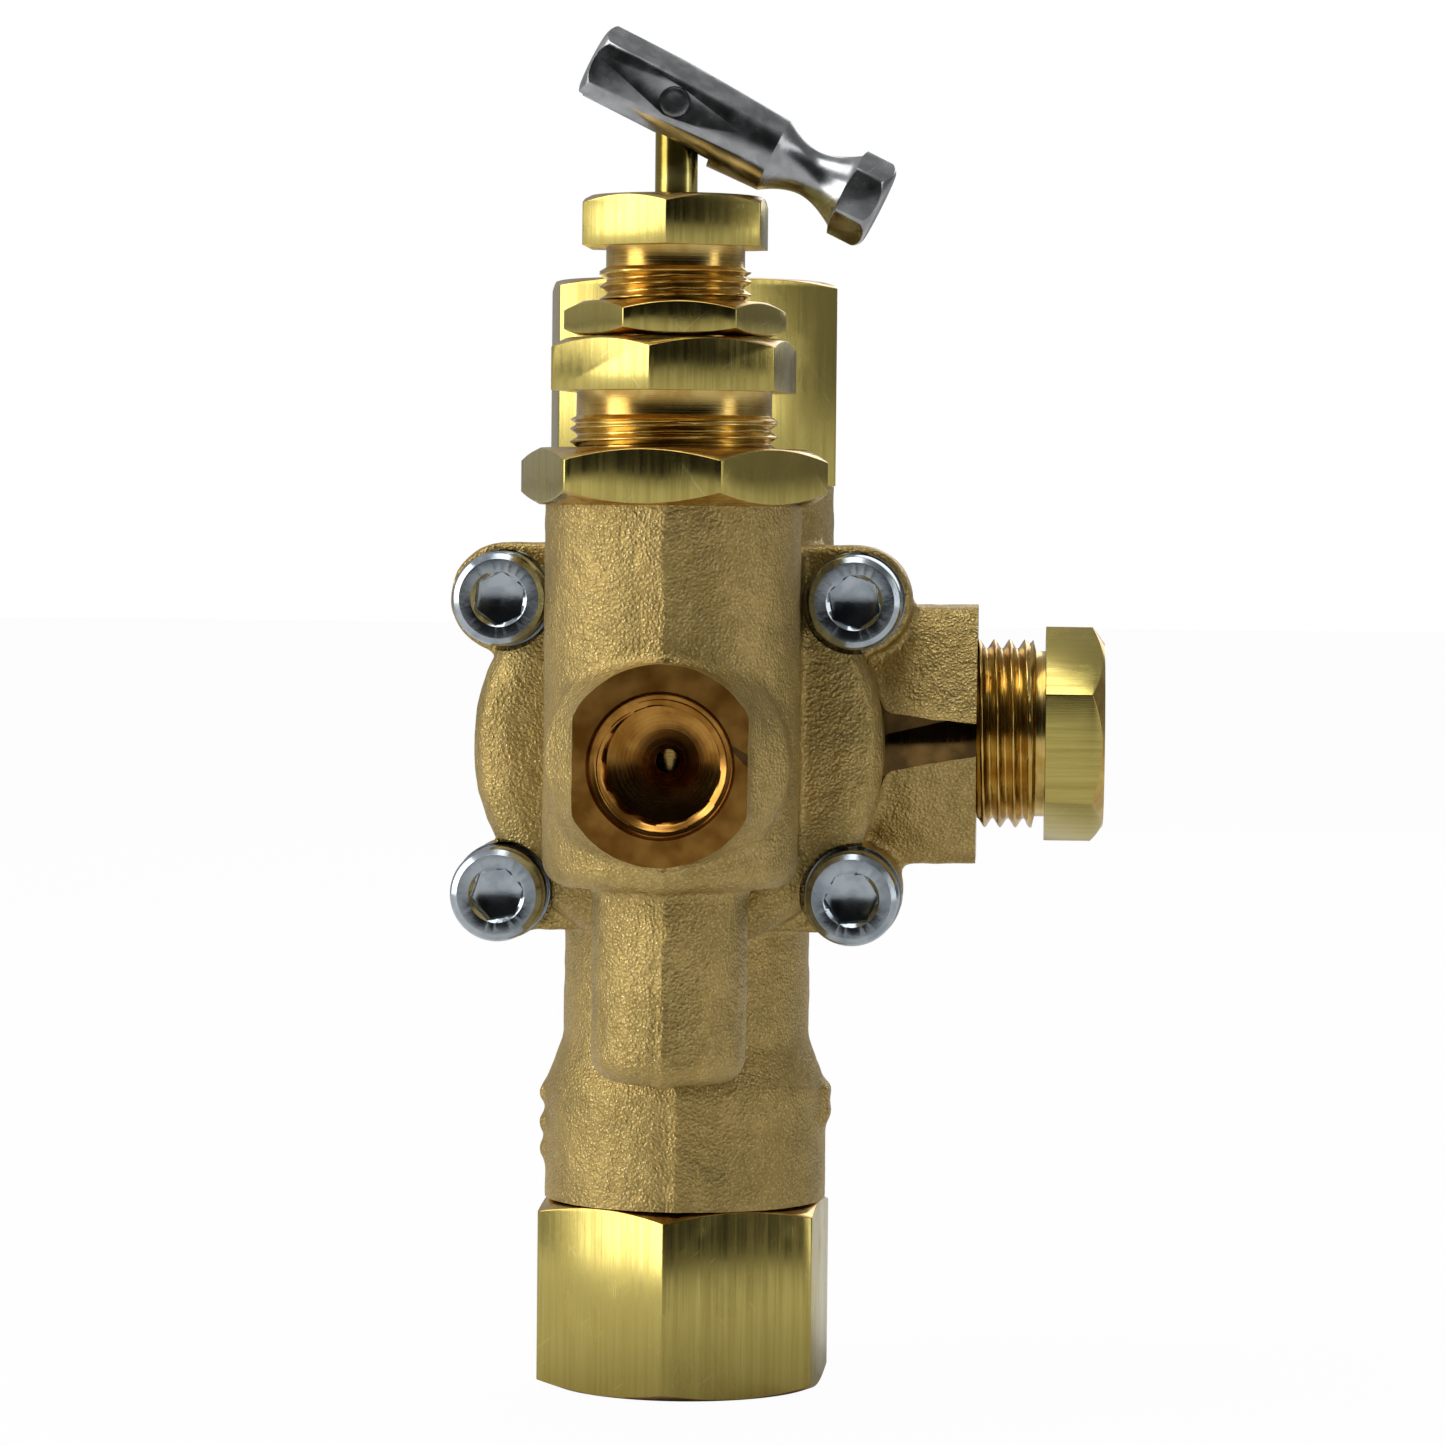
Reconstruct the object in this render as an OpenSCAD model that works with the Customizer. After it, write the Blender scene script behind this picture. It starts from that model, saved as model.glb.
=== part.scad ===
// Three way pilot unloader valve with a built-in check valve, for an air compressor.
// Air enters the hex socket at the bottom, lifts the check disc and leaves at the top.
// The front pilot opens the unloader on the Y axis, which blows the inlet out at the side.
// Frame: Z up the main bore, -Y towards the pilot, origin at the centre of the inlet mouth.

/* [Pipe ends] */
// Across flats of the lower hex socket
inlet_hex_af = 28.6; // [28:0.1:34]
// Height of the lower hex socket
inlet_hex_h = 19.5; // [17:0.5:28]
// Across flats of the upper hex socket
outlet_hex_af = 28.6; // [28:0.1:34]
// Height of the upper hex socket
outlet_hex_h = 21.1; // [18:0.5:30]
// Radius of the half inch pipe thread, at its pitch line
pipe_r = 9.9; // [9.6:0.05:10.2]
// Depth of the pipe thread
pipe_depth = 13.4; // [11:0.2:15]
// Turn of the lower hex about the main axis
inlet_hex_turn = 26; // [0:1:60]
// Turn of the upper hex about the main axis
outlet_hex_turn = 37.4; // [0:0.2:60]

/* [Main casting] */
// Height of the casting between the two hex sockets
casting_h = 74.3; // [70:0.1:90]
// Diameter of the cast tube
tube_d = 25.6; // [24.6:0.1:31]
// Diameter of the lower collar
lower_collar_d = 29.3; // [27.6:0.1:34]
// Height of the lower collar
lower_collar_h = 12; // [11:0.5:16]
// Diameter of the upper collar
upper_collar_d = 29.8; // [28.4:0.1:34]
// Height of the upper collar
upper_collar_h = 9.8; // [9:0.2:12]
// Diameter of the main bore
main_bore_d = 16; // [14:0.2:17]
// Diameter of the check valve's seat opening
check_seat_d = 14; // [11:0.2:15]

/* [Flange] */
// Height of the unloader's axis above the inlet mouth
unloader_z = 67.3; // [64:0.1:71]
// Radius of the round chamber behind the pilot
chamber_outer_r = 20.8; // [19.5:0.1:24]
// Distance between the screw columns
screw_dx = 35.6; // [34.6:0.1:40]
// Distance between the screw rows
screw_dz = 29.7; // [28:0.1:34]
// Radius of the upper ears
upper_ear_r = 5.5; // [5.2:0.1:7]
// Radius of the lower ears
lower_ear_r = 4.6; // [4.5:0.1:7]
// Distance of the split face in front of the main axis
split_y = 14.5; // [14:0.1:17]
// Thickness of the ears on the main casting
body_flange_t = 8.5; // [6:0.1:10]
// Thickness of the ears on the pilot casting
pilot_flange_t = 2.4; // [2:0.1:4]

/* [Side outlet] */
// Height of the exhaust axis above the inlet mouth
exhaust_z = 68.3; // [66:0.1:70]
// Reach of the side boss from the main axis
boss_reach = 30.05; // [29:0.05:36]
// Height of the side boss
boss_h = 26.5; // [24:0.1:30]
// Diameter of the exhaust fitting's thread
fitting_thread_d = 19.6; // [16:0.1:20.4]
// Length of thread that shows between the boss and the hex
fitting_gap = 7.05; // [4:0.05:10]
// Across flats of the fitting's hex
fitting_hex_af = 19.6; // [18.5:0.1:24]
// Length of the fitting's hex
fitting_hex_l = 6.1; // [5:0.1:10]
// Diameter of the fitting's bore
fitting_bore_d = 12.6; // [9:0.1:13.4]

/* [Pilot casting] */
// Distance of the pilot axis in front of the main axis
pilot_y = 30.2; // [30.2:0.1:34]
// Diameter of the pilot barrel
barrel_d = 25.3; // [24.6:0.1:30]
// Height of the barrel's lower shoulder
barrel_bottom_z = 54; // [52:0.5:58]
// Height of the barrel's top face
barrel_top_z = 91.6; // [90:0.1:95]
// Diameter of the closed lower finger
finger_d = 15.4; // [14:0.1:18]
// Height of the finger's lower end
finger_bottom_z = 34.6; // [32:0.2:42]
// Height of the pilot port's axis
port_z = 66.6; // [65:0.1:67]
// Diameter of the port boss
port_boss_d = 19.6; // [18:0.1:23]
// Width of the port boss between its side flats
port_boss_w = 16.9; // [15.6:0.1:19]
// Distance of the port face in front of the pilot axis
port_reach = 17; // [16:0.1:21]
// Radius of the quarter inch pipe thread, at its pitch line
port_r = 6.2; // [6:0.05:6.4]
// Depth of the quarter inch pipe thread
port_depth = 8.8; // [7.6:0.1:9]

/* [Pilot spring stack] */
// Diameter of the bonnet's thread
bonnet_thread_d = 20.5; // [19.6:0.1:21]
// Diameter of the adjusting screw's thread
adjuster_thread_d = 15; // [13:0.1:15.6]
// Across flats of the bonnet lock nut
bonnet_nut_af = 27; // [25:0.1:30]
// Height of the bonnet lock nut
bonnet_nut_h = 5.6; // [5:0.1:7]
// Length of bonnet that shows between its lock nut and its hex
bonnet_gap = 5.6; // [4:0.1:8]
// Across flats of the bonnet's hex
bonnet_hex_af = 22.2; // [21:0.1:26]
// Height of the bonnet's hex
bonnet_hex_h = 5.2; // [4:0.1:8]
// Across flats of the adjusting screw's lock nut
adjuster_nut_af = 19.05; // [18:0.05:22]
// Height of the adjusting screw's lock nut
adjuster_nut_h = 3.4; // [3:0.1:5]
// Length of adjusting screw that shows between its lock nut and its hex
adjuster_gap = 5.4; // [4.5:0.1:8]
// Across flats of the adjusting screw's hex
adjuster_hex_af = 17.5; // [16.5:0.1:21]
// Height of the adjusting screw's hex
adjuster_hex_h = 5; // [4:0.1:7]
// Diameter of the pilot stem
stem_d = 4.2; // [3.6:0.1:4.4]
// Diameter of the pilot ball
ball_d = 5.2; // [4.6:0.1:5.6]

/* [Toggle lever] */
// Across flats of the lever's hex bar
lever_af = 7.94; // [7.4:0.02:8.6]
// Length of the lever
lever_l = 31.7; // [30:0.1:38]
// Distance from the cam end to the hinge pin
lever_pin_x = 9.3; // [8.6:0.1:9.8]
// Distance from the cam end to the start of the neck
lever_body_l = 20.1; // [19:0.1:22]
// Length of the hollow neck
lever_neck_l = 7.8; // [6:0.1:10]
// Diameter of the neck at its thinnest
lever_neck_d = 4.7; // [4:0.1:6]
// Slope of the lever at rest
lever_tilt = 26.5; // [25.5:0.1:27]
// Height of the hinge pin above the adjusting screw
pin_rise = 9; // [8.9:0.05:9.4]
// Diameter of the hinge pin
pin_d = 2.5; // [2:0.1:2.7]

/* [Unloader and check valve] */
// Diameter of the unloader's piston
piston_d = 29; // [26:0.2:30]
// Thickness of the unloader's piston
piston_t = 4; // [3.6:0.1:4.2]

/* [Fits] */
// Radial clearance of threads and pressed pieces
fit = 0.05; // [0.02:0.01:0.08]
// Radial clearance of sliding pieces
slide_fit = 0.06; // [0.03:0.01:0.1]
// Gap between a valve and its seat at rest
seat_gap = 0.1; // [0.05:0.05:0.2]

/* [Hidden] */
$fn = 64;
eps = 0.01;
far = 100;

// Heights along the main axis
casting_bottom_z = inlet_hex_h;
casting_top_z = inlet_hex_h + casting_h;
outlet_top_z = casting_top_z + outlet_hex_h;
spigot_r = 11.5;
inlet_spigot_l = 9.8;
outlet_spigot_l = 7.4;
seal_face_z = casting_top_z - outlet_spigot_l - 0.4;
land_t = 3;
seal_groove = [spigot_r + 0.6, spigot_r + 2, 1.3];
seal_ring_r = 0.6;

// Check valve
guide_bore_r = 9.7;
guide_t = 2;
guide_z = outlet_top_z - pipe_depth - 3 - guide_t;
ring_t = 0.8;
check_disc_t = 2;
check_plate_t = 2;
check_z = seal_face_z + seat_gap;
check_stem_r = 2;
check_screw_r = 1.5;

// Unloader, with distances in front of the main axis given as positive depths
main_bore_r = main_bore_d / 2;
seat_hole_r = 6.6;
seat_bore_r = 3.8;
seat_back = 7.2;
cavity_r = 10.5;
cavity_back = 10.5;
pocket_back = 12.7;
pocket_r = piston_d / 2 + 0.6;
chamber_r = piston_d / 2 + slide_fit;
chamber_end = split_y + piston_t + 1;
piston_front = chamber_end - 0.2;
piston_back = piston_front - piston_t;
rod_r = 2.2;
rod_tip_r = 1.5;
poppet_r = 5.6;
poppet_seal_t = 1;
poppet_t = 1.8;
poppet_front = seat_back - seat_gap;
poppet_back = poppet_front - poppet_seal_t - poppet_t;
spring_pocket_r = 3.8;
spring_pocket_back = 9.3;
face_ring_r = pocket_r + 1.9;

// Screws
ear_face = split_y + pilot_flange_t;
washer_t = 1.1;
screw_r = 3;
head_r = 4.75;
head_h = 6.35;
spot_face_r = head_r + 0.6;
head_base = ear_face + washer_t;
socket_af = 4.76;
socket_turns = [12, 24, 5, 40];
screw_places = [for (sx = [-1, 1], sz = [-1, 1]) [sx * screw_dx / 2, unloader_z + sz * screw_dz / 2]];

// Pilot stack, upwards along the pilot axis
bonnet_thread_r = bonnet_thread_d / 2;
bonnet_engagement = 7.3;
bonnet_bottom_z = barrel_top_z - bonnet_engagement;
bonnet_nut_top_z = barrel_top_z + bonnet_nut_h;
bonnet_neck_l = 2.8;
bonnet_hex_z = bonnet_nut_top_z + bonnet_gap;
bonnet_top_z = bonnet_hex_z + bonnet_hex_h;
adjuster_thread_r = adjuster_thread_d / 2;
adjuster_nut_z = bonnet_top_z + 0.2;
adjuster_nut_top_z = adjuster_nut_z + adjuster_nut_h;
adjuster_neck_l = 2.4;
adjuster_hex_z = adjuster_nut_top_z + adjuster_gap;
adjuster_top_z = adjuster_hex_z + adjuster_hex_h;
adjuster_bottom_z = bonnet_top_z - 6.9;
pin_z = adjuster_top_z + pin_rise;
upper_seat_t = 2;
upper_seat_z = adjuster_bottom_z - upper_seat_t;
thread_floor_z = bonnet_bottom_z - 0.3;
pilot_bore_r = 6.5;
pilot_seat_z = port_z + 4;
pilot_seat_t = 4;
pilot_hole_r = 1.5;
finger_bore_r = 4.2;
finger_floor_z = finger_bottom_z + 3.4;
ball_z = pilot_seat_z + pilot_seat_t + sqrt(pow(ball_d / 2, 2) - pow(pilot_hole_r, 2)) + seat_gap;
lower_seat_z = ball_z + ball_d / 2 + seat_gap;
lower_seat_t = 2.5;
signal_hole_r = 1.2;
signal_z = ball_z + 1;
tail_r = 2.6;
tail_l = 14;
strainer_r = 3.6;
strainer_z = finger_floor_z + 1;
strainer_top_z = pilot_seat_z - tail_l + 2;

// Toggle lever
lever_corner_r = lever_af / sqrt(3);
lever_slot_w = stem_d + 0.3;
lever_slot_end = 5.3;
lever_end_round = 1.5;
knob_round = 1.3;
pin_head_r = 1.55;

// Exhaust
fitting_thread_r = fitting_thread_d / 2;
boss_floor = 16;
fitting_inner = boss_floor + 1;
fitting_hex_x = boss_reach + fitting_gap;
fitting_turn = 7;
fitting_outer_x = fitting_hex_x + fitting_hex_l;
screen_t = 0.6;
screen_seat_r = fitting_bore_d / 2 + 0.7;
screen_seat_x = fitting_inner + 2;

brass = "darkgoldenrod";
bar_brass = "gold";
steel = "silver";
rubber = "dimgray";

// ---- Helpers ----

// Turns a solid that stands on Z so that it points to the front, starting at the given depth.
module to_front(depth, z = 0) {
    translate([0, -depth, z]) rotate([90, 0, 0]) children();
}

// Turns a solid that stands on Z so that it points to +X, starting at x.
module to_side(x, z = 0) {
    translate([x, 0, z]) rotate([0, 90, 0]) children();
}

// Hex bar with turned chamfers at its lower and upper ends.
module hex_bar(af, h, low = 0, high = 0) {
    corner_r = af / sqrt(3);
    flat_r = af / 2;
    drop_low = low * (corner_r - flat_r + 0.5) / 2;
    drop_high = high * (corner_r - flat_r + 0.5) / 2;
    intersection() {
        cylinder(h = h, r = corner_r, $fn = 6);
        rotate_extrude() polygon([
            [0, 0], [low > 0 ? flat_r - 0.5 : corner_r + 1, 0], [corner_r + eps, drop_low],
            [corner_r + eps, h - drop_high], [high > 0 ? flat_r - 0.5 : corner_r + 1, h], [0, h]
        ]);
    }
}

// Ring with a round section, lying around Z.
module o_ring(mid_r, wire_r) {
    rotate_extrude() translate([mid_r, 0]) circle(r = wire_r, $fn = 24);
}

// Plain tube around Z.
module tube(outer_r, inner_r, h) {
    difference() {
        cylinder(h = h, r = outer_r);
        translate([0, 0, -eps]) cylinder(h = h + 2 * eps, r = inner_r);
    }
}

// Disc around Z with its upper rim rounded by an arc.
module domed_disc(r, h, round_r) {
    rotate_extrude() polygon(concat(
        [[0, 0], [r, 0]],
        [for (a = [0:15:90]) [r - round_r + round_r * cos(a), h - round_r + round_r * sin(a)]],
        [[0, h]]
    ));
}

// Round wire coil spring, standing on Z.
module coil_spring(mid_r, wire_r, turns, h) {
    steps = 14;
    sides = 6;
    n = turns * steps;
    points = [for (i = [0:n], k = [0:sides - 1])
        let (a = 360 * i / steps, b = 360 * k / sides, r = mid_r + wire_r * cos(b))
        [r * cos(a), r * sin(a), wire_r + (h - 2 * wire_r) * i / n + wire_r * sin(b)]];
    skin = [for (i = [0:n - 1], k = [0:sides - 1]) let (m = (k + 1) % sides)
        [i * sides + k, i * sides + m, (i + 1) * sides + m, (i + 1) * sides + k]];
    polyhedron(points, concat(
        [[for (k = [sides - 1:-1:0]) k]],
        skin,
        [[for (k = [0:sides - 1]) n * sides + k]]
    ));
}

// Outline of the flange, with Z as its second direction.
module flange_outline() {
    plate_top = unloader_z + screw_dz / 2 + upper_ear_r;
    plate_bottom = unloader_z - screw_dz / 2 - lower_ear_r + 0.8;
    for (p = screw_places) translate(p) circle(r = p[1] > unloader_z ? upper_ear_r : lower_ear_r);
    translate([-screw_dx / 2, plate_bottom]) square([screw_dx, plate_top - plate_bottom]);
    translate([0, unloader_z]) circle(r = chamber_outer_r);
}

// One copy of its children at each screw, pointing to the front from the given depth.
module at_screws(depth) {
    for (p = screw_places) translate([p[0], 0, 0]) to_front(depth, p[1]) children();
}

// ---- Main casting ----

module cast_tube() {
    z1 = casting_bottom_z;
    z2 = z1 + lower_collar_h;
    z3 = casting_top_z - upper_collar_h;
    rotate_extrude() polygon([
        [0, z1], [lower_collar_d / 2, z1], [lower_collar_d / 2, z2], [tube_d / 2, z2 + 4.7],
        [tube_d / 2, z3 - 3], [upper_collar_d / 2, z3], [upper_collar_d / 2, casting_top_z], [0, casting_top_z]
    ]);
}

// Side boss: a six sided block on the exhaust axis, deeper where it leaves the flange.
module boss_slice(x, corner) {
    half = boss_h / 2;
    translate([x, 0, exhaust_z]) rotate([90, 0, 90]) linear_extrude(eps)
        polygon([[-corner, 0], [-half / sqrt(3), half], [half / sqrt(3), half],
                 [corner - 1.5, 0], [half / sqrt(3), -half], [-half / sqrt(3), -half]]);
}

module side_boss() {
    corner = boss_h / sqrt(3);
    hull() {
        boss_slice(0, corner + 4);
        boss_slice(boss_reach - eps, corner - 0.1);
    }
}

module rear_dome() {
    skirt_r = chamber_outer_r - 0.7;
    to_front(-3, unloader_z) rotate_extrude() polygon([
        [0, 0], [tube_d / 2 - 2.3, 0], [skirt_r - 2, split_y - 4], [skirt_r, split_y - 2],
        [skirt_r, split_y + 2], [0, split_y + 2]
    ]);
}

module unloader_bores() {
    to_front(0, unloader_z) cylinder(h = split_y - 1, r = seat_hole_r + fit);
    to_front(cavity_back, unloader_z) cylinder(h = split_y, r = cavity_r);
    to_front(pocket_back, unloader_z) cylinder(h = split_y, r = pocket_r);
    to_front(-spring_pocket_back, unloader_z) cylinder(h = spring_pocket_back, r = spring_pocket_r);
    to_front(split_y - 1.4, unloader_z) tube(face_ring_r + 1.05, face_ring_r - 1.05, 5);
}

module exhaust_bores() {
    to_side(boss_floor, exhaust_z) cylinder(h = boss_reach, r = fitting_thread_r + fit);
    // Slanting hole from the unloader's cavity to the floor of the exhaust thread
    translate([4, -12.7, unloader_z]) rotate([0, 90, 30.7]) cylinder(h = 17.4, r = 3.2);
}

module main_bores() {
    translate([0, 0, -eps]) cylinder(h = casting_top_z + 1 - land_t - outlet_spigot_l, r = main_bore_r);
    cylinder(h = far * 2, r = check_seat_d / 2);
    cylinder(h = casting_bottom_z + inlet_spigot_l + 0.2, r = spigot_r + fit);
    translate([0, 0, seal_face_z]) cylinder(h = far, r = spigot_r + fit);
}

module main_body() {
    color(brass) difference() {
        union() {
            cast_tube();
            side_boss();
            rear_dome();
            to_front(split_y - body_flange_t) linear_extrude(body_flange_t) flange_outline();
        }
        translate([-far, -split_y - far, -eps]) cube([2 * far, far, 2 * far]);
        main_bores();
        unloader_bores();
        exhaust_bores();
        at_screws(0) cylinder(h = split_y + 1, r = screw_r + fit);
    }
}

// ---- Pipe ends ----

module seal_groove_cut(z) {
    translate([0, 0, z]) tube(seal_groove[1], seal_groove[0], seal_groove[2]);
}

module inlet_adapter() {
    color(bar_brass) difference() {
        union() {
            rotate([0, 0, inlet_hex_turn]) hex_bar(inlet_hex_af, inlet_hex_h, 0.7, 1);
            cylinder(h = inlet_hex_h + inlet_spigot_l, r = spigot_r);
        }
        translate([0, 0, -eps]) cylinder(h = pipe_depth + eps, r = pipe_r);
        cylinder(h = far, r = main_bore_r);
        seal_groove_cut(inlet_hex_h - seal_groove[2] + eps);
    }
}

module inlet_o_ring() {
    color(rubber) translate([0, 0, inlet_hex_h - seal_ring_r - fit])
        o_ring((seal_groove[0] + seal_groove[1]) / 2, seal_ring_r);
}

module outlet_adapter() {
    color(bar_brass) difference() {
        union() {
            translate([0, 0, casting_top_z]) rotate([0, 0, outlet_hex_turn])
                hex_bar(outlet_hex_af, outlet_hex_h, 0, 0.8);
            translate([0, 0, casting_top_z - outlet_spigot_l]) cylinder(h = outlet_spigot_l + 1, r = spigot_r);
        }
        translate([0, 0, casting_top_z - outlet_spigot_l - 1])
            cylinder(h = guide_z + guide_t - casting_top_z + outlet_spigot_l + 1, r = guide_bore_r);
        cylinder(h = far * 2, r = main_bore_r);
        translate([0, 0, outlet_top_z - pipe_depth]) cylinder(h = far, r = pipe_r);
        translate([0, 0, guide_z - ring_t - 0.1]) cylinder(h = ring_t + 0.1, r = guide_bore_r + 0.6);
        seal_groove_cut(casting_top_z - eps);
    }
}

module outlet_o_ring() {
    color(rubber) translate([0, 0, casting_top_z + seal_ring_r + fit])
        o_ring((seal_groove[0] + seal_groove[1]) / 2, seal_ring_r);
}

// ---- Check valve ----

module check_guide() {
    color(bar_brass) translate([0, 0, guide_z]) difference() {
        cylinder(h = guide_t, r = guide_bore_r - fit);
        translate([0, 0, -eps]) cylinder(h = far, r = check_stem_r + slide_fit);
        for (a = [0:60:300]) rotate([0, 0, a]) translate([6, 0, -eps]) cylinder(h = far, r = 2.1);
    }
}

module check_retaining_ring() {
    color(steel) translate([0, 0, guide_z - ring_t]) difference() {
        tube(guide_bore_r + 0.55, guide_bore_r - 1.2, ring_t);
        translate([0, -2, -1]) cube([far, 4, far]);
    }
}

module check_poppet() {
    z = check_z + check_disc_t;
    color(bar_brass) difference() {
        union() {
            translate([0, 0, z]) cylinder(h = check_plate_t, r = guide_bore_r - 0.9);
            translate([0, 0, z]) cylinder(h = guide_z + guide_t + 1.4 - z, r = check_stem_r);
        }
        translate([0, 0, z - eps]) cylinder(h = 1.7, r = check_screw_r + 0.02);
    }
}

module check_disc() {
    color(rubber) translate([0, 0, check_z]) tube(guide_bore_r - 1.1, check_screw_r + 0.02, check_disc_t);
}

module check_disc_screw() {
    color(steel) difference() {
        union() {
            translate([0, 0, check_z - 1.5]) cylinder(h = 1.5, r = 3.2);
            translate([0, 0, check_z - eps]) cylinder(h = check_disc_t + 1.6, r = check_screw_r);
        }
        translate([-far, -0.4, check_z - 2.2]) cube([2 * far, 0.8, 1.4]);
    }
}

module check_spring() {
    z = check_z + check_disc_t + check_plate_t;
    color(steel) translate([0, 0, z + 0.02]) coil_spring(3.3, 0.45, 4, guide_z - z - 0.04);
}

// ---- Unloader ----

module unloader_seat() {
    color(bar_brass) to_front(seat_back, unloader_z) difference() {
        union() {
            cylinder(h = cavity_back - seat_back, r = seat_hole_r);
            translate([0, 0, cavity_back - seat_back]) hex_bar(15, 1.5, 0, 0);
        }
        translate([0, 0, -eps]) cylinder(h = far, r = seat_bore_r);
    }
}

module unloader_poppet() {
    color(bar_brass) to_front(poppet_back, unloader_z) difference() {
        union() {
            cylinder(h = poppet_t, r = poppet_r);
            translate([0, 0, -1.5]) cylinder(h = 2, r = 2.2);
        }
        translate([0, 0, poppet_t - 1.3]) cylinder(h = 2, r = rod_tip_r + 0.02);
    }
}

module unloader_poppet_seal() {
    color(rubber) to_front(poppet_front - poppet_seal_t, unloader_z)
        tube(poppet_r - 0.2, rod_tip_r + 0.02, poppet_seal_t);
}

module unloader_spring() {
    color(steel) to_front(-spring_pocket_back + 0.02, unloader_z)
        coil_spring(2.95, 0.45, 6, spring_pocket_back + poppet_back - 0.04);
}

module unloader_piston() {
    ring_r = piston_d / 2 - 1.6;
    color(bar_brass) difference() {
        union() {
            to_front(piston_back, unloader_z) cylinder(h = piston_t, r = piston_d / 2);
            to_front(poppet_front, unloader_z) cylinder(h = piston_back - poppet_front + 1, r = rod_r);
            to_front(poppet_front - poppet_seal_t - 1.2, unloader_z) cylinder(h = 3, r = rod_tip_r);
        }
        to_front(piston_back + 0.85, unloader_z) tube(far, ring_r, 2.3);
        to_front(piston_front - 1.2, unloader_z) cylinder(h = far, r = 5);
    }
}

module piston_o_ring() {
    color(rubber) to_front(piston_back + 2, unloader_z) o_ring(piston_d / 2 - 0.8, 0.78);
}

module chamber_o_ring() {
    color(rubber) to_front(split_y - 0.7, unloader_z) o_ring(face_ring_r, 0.68);
}

// ---- Pilot casting ----

module barrel() {
    translate([0, -pilot_y, 0]) {
        translate([0, 0, barrel_top_z]) rotate([180, 0, 0])
            domed_disc(barrel_d / 2, barrel_top_z - barrel_bottom_z, 2.6);
        translate([0, 0, barrel_bottom_z + 4]) rotate([180, 0, 0])
            domed_disc(finger_d / 2, barrel_bottom_z + 4 - finger_bottom_z, 2.4);
    }
}

module port_boss() {
    root_r = port_boss_d / 2 + 2.6;
    to_front(pilot_y, port_z) intersection() {
        union() {
            cylinder(h = port_reach, r = port_boss_d / 2);
            cylinder(h = port_reach - 3.5, r1 = root_r, r2 = port_boss_d / 2 - 0.6);
        }
        translate([-port_boss_w / 2, -far, 0]) cube([port_boss_w, 2 * far, far]);
    }
}

module barrel_web() {
    z1 = barrel_bottom_z + 2.4;
    z2 = unloader_z + screw_dz / 2 + upper_ear_r - 0.6;
    translate([-barrel_d / 2, -pilot_y, z1]) cube([barrel_d, pilot_y - split_y, z2 - z1]);
}

module port_bores() {
    face = pilot_y + port_reach;
    cone_l = 2.4;
    drill_r = port_r - 0.65;
    translate([0, -face - eps, port_z]) rotate([-90, 0, 0]) {
        cylinder(h = 0.7, r1 = port_r + 0.7, r2 = port_r);
        cylinder(h = port_depth, r = port_r);
        translate([0, 0, port_depth - eps]) cylinder(h = cone_l, r1 = drill_r, r2 = signal_hole_r);
        cylinder(h = face - pilot_y, r = signal_hole_r);
    }
}

module pilot_bores() {
    translate([0, -pilot_y, 0]) {
        translate([0, 0, thread_floor_z]) cylinder(h = far, r = bonnet_thread_r + fit);
        translate([0, 0, pilot_seat_z - 0.01]) cylinder(h = far, r = pilot_bore_r);
        translate([0, 0, finger_floor_z]) cylinder(h = far, r = finger_bore_r);
    }
    to_front(chamber_end - 1, signal_z) cylinder(h = pilot_y - chamber_end, r = signal_hole_r);
}

module pilot_casting() {
    color(brass) difference() {
        union() {
            barrel();
            barrel_web();
            port_boss();
            to_front(split_y, unloader_z) domed_disc(chamber_outer_r, chamber_end - split_y + 1.4, 3);
            to_front(split_y) linear_extrude(pilot_flange_t) flange_outline();
        }
        to_front(0, unloader_z) cylinder(h = chamber_end, r = chamber_r);
        pilot_bores();
        port_bores();
        at_screws(split_y - 1) cylinder(h = 10, r = screw_r + 0.3);
        // Spot faces, which let the screw heads down beside the round chamber
        at_screws(ear_face) cylinder(h = far, r = spot_face_r);
    }
}

// ---- Fasteners ----

module cap_screw(turn) {
    difference() {
        union() {
            translate([0, 0, -head_base + split_y - body_flange_t + 0.6])
                cylinder(h = head_base - split_y + body_flange_t, r = screw_r);
            domed_disc(head_r, head_h, 0.8);
        }
        rotate([0, 0, turn]) translate([0, 0, head_h - 3.2]) cylinder(h = 5, r = socket_af / sqrt(3), $fn = 6);
        translate([0, 0, head_h - 4.4]) cylinder(h = 1.2 + eps, r1 = 0.2, r2 = 2.3);
    }
}

module cap_screws() {
    color(steel) for (i = [0:3]) {
        p = screw_places[i];
        translate([p[0], 0, 0]) to_front(head_base, p[1]) cap_screw(socket_turns[i]);
    }
}

module lock_washers() {
    color(steel) at_screws(ear_face) difference() {
        tube(head_r + 0.2, screw_r + 0.15, washer_t);
        rotate([0, 0, 35]) translate([0, -0.5, -1]) cube([far, 1, far]);
    }
}

// ---- Pilot stack ----

module at_pilot(z) {
    translate([0, -pilot_y, z]) children();
}

module pilot_bonnet() {
    color(bar_brass) difference() {
        union() {
            at_pilot(bonnet_bottom_z) cylinder(h = bonnet_hex_z - bonnet_neck_l - bonnet_bottom_z, r = bonnet_thread_r);
            at_pilot(bonnet_bottom_z) cylinder(h = bonnet_hex_z - bonnet_bottom_z + 1, r = bonnet_thread_r - 0.6);
            at_pilot(bonnet_hex_z) rotate([0, 0, 22.6]) hex_bar(bonnet_hex_af, bonnet_hex_h, 0, 1);
        }
        at_pilot(bonnet_bottom_z - 1) cylinder(h = far, r = adjuster_thread_r + fit);
    }
}

module bonnet_lock_nut() {
    color(bar_brass) at_pilot(barrel_top_z) difference() {
        rotate([0, 0, 50.4]) hex_bar(bonnet_nut_af, bonnet_nut_h, 1, 1);
        translate([0, 0, -1]) cylinder(h = far, r = bonnet_thread_r + fit);
    }
}

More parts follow.
